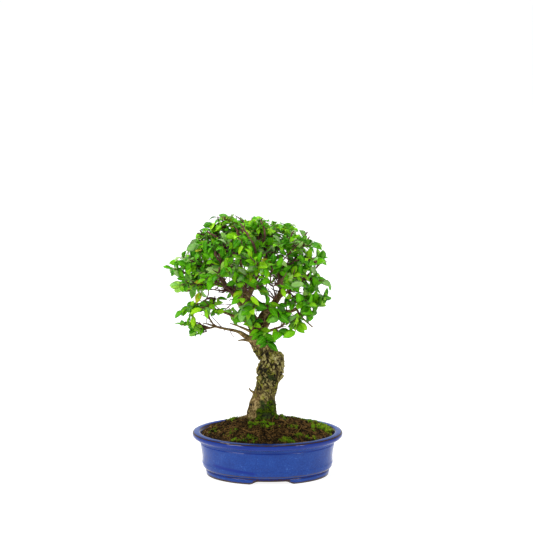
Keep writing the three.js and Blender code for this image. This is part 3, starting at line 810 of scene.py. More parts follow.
@dataclass
class Pot:
    """The oval stoneware pot: foot ring with two notches, belly, moulding, rolled rim and floor."""

    width: float = 175.0
    depth: float = 139.0
    height: float = 51.2
    bend_limit: float = 26.0
    floor_top: float = 9.0
    floor_underside: float = 4.0
    notch_width: float = 36.0
    notch_shift: float = 5.0
    drain_radius: float = 6.5
    drain_spacing: float = 68.0
    around: int = 360
    longest_step: float = 1.6
    # how far inside the rim each corner of the section lies, its height, and its rounding
    section: Rows = (
        (24.6, 4, 0.8), (24, 0, 0.8), (16.6, 0, 0.8), (15.6, 5.4, 0.5), (16.5, 6.4, 0.5),
        (12.3, 10, 2), (11.3, 15.4, 0.7), (11.7, 17, 0.9), (11.6, 24.6, 4), (9.3, 37.6, 0.5),
        (9.9, 38.5, 0.4), (8, 39.4, 0.4), (7.7, 42.2, 1.2), (2.4, 43.9, 1), (0, 46.5, 1.66),
        (0.3, 50.2, 1.66), (4, 51.2, 2), (8, 51.2, 1.2), (9.5, 50, 1.2), (15.5, 41, 3),
        (18.5, 13, 5), (23, 9, 3),
    )
    # heights at which the glaze gathers or runs thin
    foot_groove: float = 6.4
    heel: float = 9.8
    belt: float = 15.6
    neck_groove: float = 38.5
    moulding: float = 42.6
    lip_edge: float = 50.2
    # where the inner edge of the lip lies, and how far in the outside of the foot goes
    lip_inset: float = 9.4
    foot_inset: float = 16.9
    foot_ring_inset: float = 25.5

    def place(self, inset: Array, angle: Array) -> tuple[Array, Array]:
        """A place in the pot's plan inside the rim's outline.

        The ellipse is first drawn in along its own square direction, up to the bend limit, and from
        there on it shrinks towards its middle.

        Args:
            inset: how far inside the outline.
            angle: the ellipse's own angle, 0 to the right and growing to the back.

        Returns:
            The place's x and y.
        """
        half_width = self.width / 2
        half_depth = self.depth / 2
        deep = np.minimum(inset, self.bend_limit)
        square_x = np.cos(angle) / half_width
        square_y = np.sin(angle) / half_depth
        size = np.hypot(square_x, square_y)
        shrink = np.minimum(1, (half_width - inset) / (half_width - self.bend_limit))
        x = (np.cos(angle) * half_width - square_x / size * deep) * shrink
        y = (np.sin(angle) * half_depth - square_y / size * deep) * shrink
        return x, y

    def profile(self) -> Array:
        """The section with every corner rounded by its own amount, in short steps.

        A corner becomes the parabola that touches both of its sides at the rounding distance.

        Returns:
            Inset and height along the section, from the underside over the rim to the floor.
        """
        corners = np.array([row[:2] for row in self.section], float)
        rounds = np.array([row[2] for row in self.section])
        first = np.array([[60.0, self.floor_underside], [40.0, self.floor_underside]])
        last = np.array([[40.0, self.floor_top], [60.0, self.floor_top]])
        befores = np.vstack([first[-1], corners[:-1]])
        afters = np.vstack([corners[1:], last[0]])
        t = np.linspace(0, 1, 4)[:, None]
        line = [first]
        for corner, size, before, after in zip(corners, rounds, befores, afters):
            start, end = (
                corner + (other - corner) * min(0.45, size / np.linalg.norm(other - corner))
                for other in (before, after)
            )
            line.append((1 - t) ** 2 * start + 2 * t * (1 - t) * corner + t ** 2 * end)
        line = np.vstack(line + [last])
        counts = np.ceil(np.linalg.norm(np.diff(line, axis=0), axis=1) / self.longest_step)
        fine = [
            np.linspace(a, b, max(1, int(count)), endpoint=False)
            for a, b, count in zip(line[:-1], line[1:], counts)
        ]
        return np.vstack(fine + [line[-1:]])

    def body(self) -> Skin:
        """The whole pot as one closed skin, a little uneven as thrown and pressed clay is.

        Returns:
            The skin with the masks of its glaze.
        """
        section = self.profile()
        angle = np.linspace(0, 2 * math.pi, self.around, endpoint=False)
        inset, z = (section[:, k:k + 1] + 0 * angle[None] for k in (0, 1))
        rows = np.stack([*self.place(inset, angle[None]), z], axis=-1)
        uneven = 0.22 * noise(rows / 26, 5) + 0.08 * noise(rows / 7, 6)
        inset = inset + np.where(z > 1, uneven, 0)
        x, y = self.place(inset, angle[None])
        at_notch = ease(8.5, -2.5, np.abs(x - self.notch_shift) - self.notch_width / 2)
        notched = np.maximum(z, self.floor_underside * at_notch)
        z = np.where(inset < self.foot_ring_inset, notched, z)
        skin = turned(np.stack([x, y, z + 0.06 * uneven], axis=-1))
        inset = np.append(inset, [self.width / 2] * 2)
        station = np.arange(len(section))
        lip = station[section[:, 1] > self.height - 0.2][-1]
        heel = station[(section[:, 0] > 17) & (section[:, 1] < 0.2)][-1]
        hidden = (station > lip + 8) | (station < heel)
        return self.masks(skin, inset, np.append(np.repeat(hidden, self.around), [True, True]))

    def masks(self, skin: Skin, inset: Array, hidden: Array) -> Skin:
        """Marks where the glaze pools, where it is worn thin and where the clay is bare.

        Args:
            skin: the pot.
            inset: how far inside the rim's outline each corner lies.
            hidden: which corners are on the unglazed inside and underside.

        Returns:
            The pot with the values "pool", "worn", "satin" and "bare".
        """
        x, y, z = skin.places.T
        outside = inset < self.foot_inset
        wave = noise(skin.places / 9, 11)
        # it pools in the grooves, on the rim's outer face and in a run along the front of the belt
        grooves = bell(self.neck_groove, 0.9, z) + 0.12 * bell(self.belt, 0.6, z)
        grooves = grooves + 0.4 * bell(self.neck_groove + 1.1, 0.8, z) + bell(self.foot_groove, 1.1, z)
        lip_face = 0.95 * ease(43.2, 44.4, z) * ease(50.4, 49.6, z)
        lip_face = lip_face * (0.85 + 0.3 * noise(skin.places / 30, 12))
        streak = bell(18.4 - (x + 60) * 0.095, 1.3, z) * ease(-66, -56, x) * ease(-10, -20, x)
        pool = 0.8 * grooves + lip_face + np.where(y < 0, 2.2 * streak, 0)
        skin.values["pool"] = np.clip(np.where(outside, pool, 0), 0, 1)
        # it runs thin over the edges of the lip, the moulding, the heel and the foot
        worn = bell(self.lip_edge, 0.6, z) * (inset < 2.4)
        worn = worn + 0.8 * bell(self.lip_inset, 1.2, inset) * (z > 47)
        worn = worn + 0.4 * bell(self.moulding, 0.7, z) * (inset > 5)
        worn = worn + 0.6 * bell(self.foot_groove + 0.1, 0.7, z) + 0.75 * bell(self.heel, 0.8, z)
        notch = ease(25, 16.5, np.abs(x - self.notch_shift)) * ease(6.2, 4.6, z)
        worn = worn + 1.3 * notch + 1.1 * ease(2.8, 1.2, z + 0.5 * wave)
        skin.values["worn"] = np.clip(worn + 0.12 * wave, 0, 1)
        skin.values["satin"] = 0.5 * bell(self.neck_groove + 0.5, 1.1, z) * outside
        foot_line = ease(1.3, 0.4, z + 0.4 * wave)
        skin.values["bare"] = np.clip(np.where(hidden, 1.0, foot_line), 0, 1)
        return skin

    def drill(self, made: bpy.types.Object, bench: Bench) -> None:
        """Cuts the two drain holes out of the floor with a plain round cutter.

        Args:
            made: the pot.
            bench: where the cutter is made.
        """
        ring = np.linspace(0, 2 * math.pi, 48, endpoint=False)
        levels = np.array([self.floor_underside - 2, self.floor_top + 2])
        for side in (-1, 1):
            x = side * self.drain_spacing / 2 + self.drain_radius * np.cos(ring)
            rows = np.stack(np.broadcast_arrays(
                x[None], self.drain_radius * np.sin(ring)[None], levels[:, None],
            ), axis=-1)
            cutter_mesh = bench.mesh("drain_cutter", turned(rows), Edge.CRISP)
            cutter = bpy.data.objects.new("drain_cutter", cutter_mesh)
            bpy.context.scene.collection.objects.link(cutter)
            cut = made.modifiers.new("drain", "BOOLEAN")
            cut.operation = "DIFFERENCE"
            cut.solver = "EXACT"
            cut.object = cutter
            bpy.context.view_layer.update()
            seen = made.evaluated_get(bpy.context.evaluated_depsgraph_get())
            whole = bpy.data.meshes.new_from_object(seen)
            made.modifiers.clear()
            made.data = whole
            bpy.data.objects.remove(cutter)

    def make(self, bench: Bench) -> None:
        """Adds the pot to the scene."""
        made = bench.piece("glazed_pot", self.body(), BlueGlaze().material(), ["pot"])
        self.drill(made, bench)


@dataclass
class DrainScreens:
    """Square plastic nets over the two drain holes."""

    pot: Pot
    size: float = 20.0
    thick: float = 1.0
    bar: float = 0.8
    meshes: int = 8
    lift: float = 9.3

    def net(self, x: float) -> Skin:
        """One net: bars along both ways, each a closed box.

        Args:
            x: where its middle lies.

        Returns:
            The net.
        """
        pitch = (self.size - self.bar) / self.meshes
        shift = (np.arange(self.meshes + 1) - self.meshes / 2) * pitch
        bars = []
        for turn in (0, 1):
            points = np.zeros((len(shift), 2, 3))
            points[:, :, turn] = [-self.size / 2, self.size / 2]
            points[:, :, 1 - turn] = shift[:, None]
            points[:, :, 0] += x
            points[:, :, 2] = self.lift + self.thick / 2
            bars.append(self.boxes(points))
        return joined(bars)

    def boxes(self, points: Array) -> Skin:
        """Straight bars of square section along pairs of points.

        Args:
            points: the middle of both ends of each bar, bars x 2 x 3.

        Returns:
            All the bars as one skin.
        """
        ahead = unit(points[:, 1] - points[:, 0])
        side = np.cross(ahead, [0.0, 0.0, 1.0]) * self.bar / 2
        up = np.array([0.0, 0.0, self.thick / 2])
        ring = np.stack([side + up, side - up, -side - up, -side + up], axis=1)
        rows = points[:, :, None] + ring[:, None]
        return joined([turned(row) for row in rows])

    def make(self, bench: Bench) -> None:
        """Adds both nets to the scene.

        Args:
            bench: where the pieces are put together.
        """
        finish = ScreenPlastic().material()
        for name, side in (("left", -1), ("right", 1)):
            net = self.net(side * self.pot.drain_spacing / 2)
            bench.piece(f"drain_net_{name}", net, finish, [f"drain_screen_{name}"], Edge.CRISP)


# The soil and what grows and lies on it

@dataclass
class Soil:
    """The mound of compost, its crumbs, roots and threads, and the moss on it."""

    pot: Pot
    edge: float = 48.6
    inset: float = 10.7
    mound: float = 16.8
    around: int = 340
    rings: int = 96
    crumbs: int = 2000
    threads: int = 2600
    blades: int = 14000
    # the pot's inner wall as inset and height, and the underside, which rises over the nets
    inside: Rows = ((10.7, 48.6), (15.8, 41), (18.8, 13), (23.3, 9.3))
    underside: float = 9.3
    net_rise: float = 1.4
    net_reach: float = 10.6
    moss_patches: Rows = (
        # middle x and y, reach along x and y, share of moss, height
        (64, 6, 16, 26, 1.0, 2.8), (42, 34, 20, 10, 0.9, 1.5), (14, 6, 8, 8, 1.0, 2.6),
        (-7, -20, 15, 9, 0.9, 2.0), (-23, -47, 14, 6, 1.0, 2.1), (21, -49, 11, 5, 0.9, 2.1),
        (50, -38, 15, 7, 1.0, 2.1), (-38, 17, 9, 9, 0.9, 2.6), (-62, -13, 7, 7, 0.3, 1.3),
        (-10, -3, 12, 6, 0.8, 2.0), (-52, 34, 14, 6, 0.4, 0.8), (8, 46, 18, 6, 0.5, 0.8),
        (30, -20, 10, 8, 0.35, 1.4), (-40, -30, 10, 8, 0.3, 1.2),
    )
    # larger lumps that stand out against the back rim and beside the trunk: x, y and size
    lumps: Rows = (
        (15, 28, 2.1), (19, 30, 1.7), (22, 31, 1.9), (25, 33, 1.5), (-36, 34, 1.8), (-33, 36, 2.2),
        (-28, 37, 1.6), (-40, 33, 1.5), (38, 34, 1.4), (-52, 26, 1.4), (10, -30, 1.9), (-3, -36, 1.7),
    )
    # roots that stand out: a pale loop before the trunk, a thicker one, and debris. Each has x, y and
    # the height above the soil along it, and its radius
    root_ways: tuple[tuple[Rows, float], ...] = (
        (((13, 8, 0.4), (7, -2, 1.6), (5.5, -14, 1.4), (6.6, -27, 0.8), (7, -38, 0)), 0.42),
        (((14, -1, 0.3), (18, -8, 1.0), (23, -16, 0)), 0.8),
        (((-26, -28, 0), (-18, -34, 1.1), (-9, -33, 0.2)), 0.4),
        (((33, -30, 0), (38, -22, 1.2), (40, -13, 0.1)), 0.45),
        (((-50, -14, 0), (-42, -20, 1.0), (-33, -21, 0.1)), 0.5),
        (((-30, 34, 0.5), (-27, 36, 3.2), (-23, 37, 3.4)), 0.6),
        (((12, 30, 0.4), (15, 32, 2.6), (19, 33, 2.8)), 0.55),
    )

    def ring(self, inset: float, bearing: Array) -> Array:
        """How far from the middle the pot's plan lies at an inset.

        Args:
            inset: how far inside the rim's outline.
            bearing: the directions looked in, in radians.

        Returns:
            One distance for each direction.
        """
        angle = np.linspace(-math.pi, math.pi, 721)
        x, y = self.pot.place(np.full(len(angle), inset), angle)
        return np.interp(bearing, np.arctan2(y, x), np.hypot(x, y))

    def share(self, x: Array, y: Array) -> Array:
        """How far out a place lies on the mound.

        Args:
            x: to the right.
            y: to the back.

        Returns:
            0 at the middle of the mound to 1 at its edge.
        """
        half = self.pot.width / 2
        bend, rim = (self.ring(inset, np.arctan2(y, x)) for inset in (self.pot.bend_limit, self.inset))
        reach = np.hypot(x, y)
        bend_share = (half - self.pot.bend_limit) / (half - self.inset)
        outer = bend_share + (1 - bend_share) * (reach - bend) / (rim - bend)
        return np.where(reach < bend, bend_share * reach / bend, outer)

    def moss_cover(self, x: Array, y: Array) -> tuple[Array, Array]:
        """How thick and how tall the moss stands at a place: ragged ovals.

        Args:
            x: to the right.
            y: to the back.

        Returns:
            Its share, from 0 where the soil is bare to 1 where the moss is closed, and its height.
        """
        share = np.zeros_like(x)
        tall = np.full_like(x, 1.2)
        ragged = 0.75 * rough(np.stack([x, y, 0 * x], axis=-1) / 5, 4, 40)
        for mid_x, mid_y, reach_x, reach_y, much, patch_tall in self.moss_patches:
            gap = np.hypot((x - mid_x) / reach_x, (y - mid_y) / reach_y)
            share = np.maximum(share, much * ease(1.0, 0.5, gap - ragged))
            tall = np.where(gap < 1.2, patch_tall, tall)
        return share, tall

    def height(self, x: Array, y: Array) -> Array:
        """The soil's surface: the mound, its broad lumps, and finer clods the same on every run.

        Args:
            x: to the right.
            y: to the back.

        Returns:
            Millimetres above the ground.
        """
        share = self.share(x, y)
        mound = self.edge + self.mound * (1 - share ** 2)
        broad = 0.9 * np.sin(0.11 * x + 1.3) * np.sin(0.13 * y) + 0.4 * np.sin(0.2 * x - 0.17 * y)
        flat = np.stack([x, y, 0 * x], axis=-1)
        crack, own = cells(flat / 2.3, 21)
        clods = 1.5 * np.minimum(crack, 0.4) * (0.3 + own) + 0.7 * rough(flat / 4, 4, 23) - 0.3
        cushion = 1.2 * self.moss_cover(x, y)[0]
        settle = ease(1.0, 0.93, share)
        return mound + broad * ease(1.0, 0.9, share) + (clods + cushion) * (0.3 + 0.7 * settle)

    def body(self) -> Skin:
        """The mound as a closed skin that fills the pot down to its floor and over the nets.

        Returns:
            The skin with the values "moss" and "tone".
        """
        half = self.pot.width / 2
        angle = np.linspace(0, 2 * math.pi, self.around, endpoint=False)
        shares = np.linspace(0, 1, self.rings + 1)[1:]
        inset = half - shares[:, None] * (half - self.inset)
        x, y = self.pot.place(inset, angle[None])
        top = np.stack([x, y, self.height(x, y)], axis=-1)
        wall = np.array(self.inside)
        wall = np.vstack([np.linspace(a, b, 6, endpoint=False) for a, b in zip(wall[:-1], wall[1:])])
        inset, z = (wall[1:, k:k + 1] + 0 * angle[None] for k in (0, 1))
        side = np.stack([*self.pot.place(inset, angle[None]), z], axis=-1)
        inset = np.linspace(self.inside[-1][0], half - 1, 30)[:, None] + 0 * angle[None]
        x, y = self.pot.place(inset, angle[None])
        gap = np.maximum(np.abs(np.abs(x) - self.pot.drain_spacing / 2), np.abs(y))
        z = self.underside + self.net_rise * ease(self.net_reach + 1.4, self.net_reach, gap)
        bottom = np.stack([x, y, z], axis=-1)
        skin = turned(np.concatenate([top, side, bottom]))
        surface = skin.places[:, 2] > 45
        skin.values["moss"] = 0.5 * self.moss_cover(*skin.places[:, :2].T)[0] * surface
        skin.values["tone"] = 0.12 * rough(skin.places / 4, 3, 31)
        return skin

    def scatter(self, count: int, rng: np.random.Generator, out: float) -> tuple[Array, Array, Array]:
        """Random places on the mound, evenly spread.

        Args:
            count: how many.
            rng: draws them.
            out: how far out they may lie, as a share.

        Returns:
            Their x, y and z.
        """
        angle = rng.random(count) * 2 * math.pi
        share = np.sqrt(rng.random(count)) * out
        half = self.pot.width / 2
        x, y = self.pot.place(half - share * (half - self.inset), angle)
        return x, y, self.height(x, y)

    def crumb_skin(self) -> Skin:
        """Crumbs of peat and bark: balls of 20 faces, flattened, turned and dented at random.

        Returns:
            All the crumbs, with the value "tone".
        """
        rng = np.random.default_rng(3)
        x, y, _ = self.scatter(self.crumbs, rng, 0.985)
        ball, faces = round_ball()
        size = 0.4 + 1.2 * rng.random(self.crumbs) ** 3
        x[:len(self.lumps)], y[:len(self.lumps)], size[:len(self.lumps)] = np.array(self.lumps).T
        z = self.height(x, y)
        spread = 0.6 + 0.8 * rng.random((self.crumbs, 3))
        spread[:, 2] *= 0.8
        dents = noise(ball[None] * 1.7 + rng.random((self.crumbs, 1, 3)) * 50, 9)
        shape = ball[None] * (1 + 0.45 * dents)[..., None]
        turn = rng.random(self.crumbs) * 2 * math.pi
        wide = shape * spread[:, None] * size[:, None, None]
        cos, sin = np.cos(turn)[:, None], np.sin(turn)[:, None]
        places = np.stack([
            wide[..., 0] * cos - wide[..., 1] * sin + x[:, None],
            wide[..., 0] * sin + wide[..., 1] * cos + y[:, None],
            wide[..., 2] + z[:, None] + 0.15 * size[:, None],
        ], axis=-1)
        tris = faces[None] + (np.arange(self.crumbs) * len(ball))[:, None, None]
        tone = np.repeat(rng.normal(-0.02, 0.17, self.crumbs), len(ball))
        return Skin(places.reshape(-1, 3), tris=tris.reshape(-1, 3), values={"tone": tone})

    def thread_skin(self) -> Skin:
        """Fine roots and fibres that lie on the compost in short curls.

        Returns:
            All the threads, with the value "tone".
        """
        rng = np.random.default_rng(4)
        x, y, _ = self.scatter(self.threads, rng, 0.95)
        turn = rng.random(self.threads) * 2 * math.pi
        curl = rng.normal(0, 1.3, self.threads)
        length = 2.5 + 7 * rng.random(self.threads)
        steps = np.linspace(-0.5, 0.5, 6)
        heading = turn[:, None] + curl[:, None] * steps[None]
        px = x[:, None] + length[:, None] * steps * np.cos(heading)
        py = y[:, None] + length[:, None] * steps * np.sin(heading)
        keep = self.share(px, py).max(axis=1) < 0.97
        rise = 0.5 * rng.random(self.threads)
        rise = rise + np.where(rng.random(self.threads) < 0.06, 2.4, 0)
        pz = self.height(px, py) + 0.1 + rise[:, None] * (1 - (2 * steps[None]) ** 2)
        points = np.stack([px, py, pz], axis=-1)[keep]
        thick = (0.14 + 0.26 * rng.random(self.threads) ** 2)[keep]
        radii = thick[:, None] * (1 - 0.6 * np.abs(2 * steps[None]) ** 3)
        skin = tubes(points, radii, 3, 5)
        each = len(skin.places) // len(points)
        skin.values["tone"] = np.repeat(rng.normal(0.1, 0.22, len(points)), each)
        return skin

    def loose_roots(self) -> Skin:
        """The few roots that stand out, each thinner to its far end.

        Returns:
            The roots, with the value "tone".
        """
        skins = []
        for way, thick in self.root_ways:
            line = smooth_line(np.array(way, float), 24)
            line[:, 2] += self.height(line[:, 0], line[:, 1]) + 0.2
            radii = thick * (1 - 0.5 * np.linspace(0, 1, 24) ** 2)
            skins.append(tubes(line[None], radii[None], 7, 2))
        skin = joined(skins)
        skin.values["tone"] = np.full(len(skin.places), 0.42)
        return skin

    def moss_skin(self) -> Skin:
        """The moss on the soil, thick in the patches and gone in the hollows between them.

        Returns:
            All its blades.
        """
        rng = np.random.default_rng(8)
        x, y, z = self.scatter(self.blades * 6, rng, 0.995)
        clump = ease(-0.3, 0.35, rough(np.stack([x, y, 0 * x], axis=-1) / 2.8, 2, 45))
        share, tall = self.moss_cover(x, y)
        keep = rng.random(len(x)) < share * (0.06 + 0.94 * clump)
        x, y, z, clump, tall = (v[keep][:self.blades] for v in (x, y, z, clump, tall))
        tall = tall * (0.45 + 0.75 * rng.random(len(x))) * (0.5 + 0.65 * clump)
        foot = np.stack([x, y, z - 0.35], axis=-1)
        ahead = np.stack([rng.normal(0, 0.38, len(x)), rng.normal(0, 0.38, len(x)), 1 + 0 * x], axis=-1)
        return moss_blades(foot, unit(ahead), tall, rng)

    def make(self, bench: Bench) -> None:
        """Adds the soil with its crumbs, and the roots and threads on it, to the scene.

        Args:
            bench: where the pieces are put together.
        """
        finish = Compost().material()
        skin = joined([self.body(), self.crumb_skin()])
        bench.piece("compost", skin, finish, ["soil"])
        bench.piece("root_threads", joined([self.thread_skin(), self.loose_roots()]), finish, [])


def moss_blades(foot: Array, ahead: Array, tall: Array, rng: np.random.Generator) -> Skin:
    """Blades of moss: thin three-sided spikes, dark at the foot and bright at the tip.

    Args:
        foot: where each blade stands.
        ahead: the direction in which each one grows.
        tall: how long each one is.
        rng: draws their widths, turns and tones.

    Returns:
        All the blades, with the value "tip".
    """
    count = len(foot)
    wide = 0.26 + 0.26 * rng.random(count)
    spare = np.where(np.abs(ahead[:, :1]) > 0.8, [[0.0, 1.0, 0.0]], [[1.0, 0.0, 0.0]])
    side = unit(np.cross(ahead, spare))
    other = np.cross(ahead, side)
    turn = rng.random(count)[:, None] * 2 * math.pi + np.arange(3) * 2 * math.pi / 3
    ring = np.cos(turn)[..., None] * side[:, None] + np.sin(turn)[..., None] * other[:, None]
    base = foot[:, None] + ring * wide[:, None, None]
    top = foot + ahead * (tall + 0.35)[:, None]
    places = np.concatenate([base, top[:, None]], axis=1).reshape(-1, 3)
    pattern = np.array([[0, 1, 3], [1, 2, 3], [2, 0, 3], [0, 2, 1]])
    tris = (pattern[None] + (np.arange(count) * 4)[:, None, None]).reshape(-1, 3)
    bright = 0.48 + 0.8 * noise(foot / 1.5, 46) + 0.25 * rng.random(count)
    bright = np.clip(bright, 0.04, 1)
    tip = np.concatenate([np.repeat(0.3 * bright[:, None], 3, axis=1), bright[:, None]], axis=1)
    return Skin(places, tris=tris, values={"tip": tip.ravel()})


def round_ball() -> tuple[Array, Array]:
    """A ball of radius 1 with 20 faces: the regular solid of 12 corners.

    Returns:
        Its 12 corners and its faces.
    """
    g = (1 + math.sqrt(5)) / 2
    places = [(-1, g, 0), (1, g, 0), (-1, -g, 0), (1, -g, 0), (0, -1, g), (0, 1, g),
              (0, -1, -g), (0, 1, -g), (g, 0, -1), (g, 0, 1), (-g, 0, -1), (-g, 0, 1)]
    faces = np.array([
        (0, 11, 5), (0, 5, 1), (0, 1, 7), (0, 7, 10), (0, 10, 11), (1, 5, 9), (5, 11, 4),
        (11, 10, 2), (10, 7, 6), (7, 1, 8), (3, 9, 4), (3, 4, 2), (3, 2, 6), (3, 6, 8),
        (3, 8, 9), (4, 9, 5), (2, 4, 11), (6, 2, 10), (8, 6, 7), (9, 8, 1),
    ])
    return unit(np.array(places, float)), faces


# The wood

@dataclass
class Limb:
    """One limb: x, y, z and radius along it, and the share of it that bears no leafy twigs."""

    way: Rows
    bears: float | None = None


LIMBS = [
    # long low limb to the left, with its two forks
    Limb(((-15, -1, 156, 5.2), (-21.5, -2, 161, 3.8), (-30, -4, 167, 2.5), (-38, -6, 171, 1.8),
          (-49, -8, 173.4, 1.5), (-61, -10, 176.6, 1.5))),
    Limb(((-60, -10, 176.4, 1.3), (-67, -12, 174.8, 1.1), (-74, -13, 173.8, 1)), 0.6),
    Limb(((-60.5, -10, 176.5, 1.4), (-64, -10, 182, 1.1), (-69, -10.5, 189.5, 1),
          (-73.6, -11, 200.5, 0.9)), 0.8),
    # second left limb, above it
    Limb(((-17, -1, 172, 3.6), (-25.5, -3, 181.2, 2.4), (-34.6, -6, 185.5, 1.8),
          (-45.6, -8, 191, 1.5), (-56.7, -9, 195.2, 1.3), (-69.3, -10, 199.7, 1.1)), 0.85),
    # main left limb and its two arms
    Limb(((-12.4, 1, 163, 8.4), (-13.8, 0, 174, 6.6), (-18, 0, 185, 5.6), (-23.6, 0, 198.5, 5.1),
          (-26, 0, 207, 4.9))),
    Limb(((-25.6, 0, 205, 4.4), (-32, 2, 211, 3.6), (-41, 4, 216.6, 2.9), (-52, 6, 226, 1.9),
          (-62, 9, 238, 1.2)), 0.4),
    Limb(((-25.8, 0, 205.5, 4.3), (-22, -1, 212, 3.8), (-19, -2, 218, 3.4), (-14.3, -4, 228, 2.1),
          (-10, -7, 243, 1.5), (-7, -9, 258, 1.1)), 0.5),
    # leader that rises behind the fork
    Limb(((-26, 1, 204, 4.5), (-27, 4, 217, 4.1), (-29, 8, 234, 2.4), (-31, 11, 250, 1.6),
          (-32, 12, 264, 1.1)), 0.5),
    # main right limb and its fork
    Limb(((-10.5, 3, 164, 7.4), (-8.1, 5, 179.5, 5.2), (-4, 6, 188, 4.5), (5.2, 7, 195, 4),
          (10, 8, 203.4, 3.7), (15.6, 9, 213, 3.3), (17, 10, 221, 2.2), (13, 12, 236, 1.3)), 0.7),
    Limb(((11.5, 8, 206, 2.6), (24, 4, 214.6, 1.8), (31, 2, 217, 1.6), (42, 3, 230, 1.2)), 0.6),
    Limb(((16, 9.5, 216, 2.5), (26, 14, 230, 1.6), (36, 16, 246, 1.1)), 0.5),
    # right limb that passes in front
    Limb(((-8.5, -1, 167, 4.8), (-1.1, -3, 177, 3.5), (4.5, -5, 184.4, 3), (12.7, -7, 190, 2.7),
          (18.3, -9, 192.6, 2.7), (28.1, -11, 195, 2.2), (37.8, -13, 200.3, 1.8),
          (51.6, -14, 207.5, 1.2)), 0.6),
    Limb(((33, -12, 197.6, 1.5), (37, -12, 191, 1.3), (41.8, -13, 185, 1.1),
          (51.7, -14, 176.5, 0.8)), 0.4),
    # small front branch low on the right
    Limb(((-9, -5, 164, 3.2), (-2, -10, 169.5, 2.1), (7.2, -14, 174, 1.6), (17, -16, 178.6, 1.3),
          (18.5, -16, 185, 1)), 0.35),
    # limbs to the back
    Limb(((-9.5, 5, 161, 5.6), (-2, 17, 178, 4.2), (8, 30, 194, 3.2), (20, 43, 210, 1.9),
          (30, 53, 226, 1.2)), 0.5),
    Limb(((-13.5, 4, 166, 5.2), (-23, 17, 184, 4), (-36, 30, 201, 3.1), (-49, 42, 217, 1.7),
          (-58, 50, 232, 1.2)), 0.5),
    Limb(((-23, 17, 184, 3.4), (-21, 26, 204, 2.8), (-18, 34, 228, 1.7), (-15, 38, 250, 1.2)), 0.5),
    # dead stubs and bare twigs
    Limb(((-21, -1, 158, 2.2), (-28, -3, 159, 1.3), (-34, -4, 158.6, 0.6))),
    Limb(((-14, 8, 93, 2), (-19.6, 5, 97.5, 1.1), (-21.5, 4, 101, 0.5))),
    Limb(((-17, -4, 168, 1.9), (-30, -7, 175, 1.2), (-43, -8, 179.8, 0.6))),
    Limb(((-61, -10, 176.6, 1.2), (-69, -8, 179, 0.9), (-74, -9, 180.5, 0.5))),
    Limb(((-43, 4, 218, 1.6), (-52, 1, 216, 1.1), (-61, -1, 217.5, 0.6))),
    Limb(((5.5, 7, 196, 1.8), (15, 4, 199.5, 1.1), (27, 2, 203, 0.6))),
]


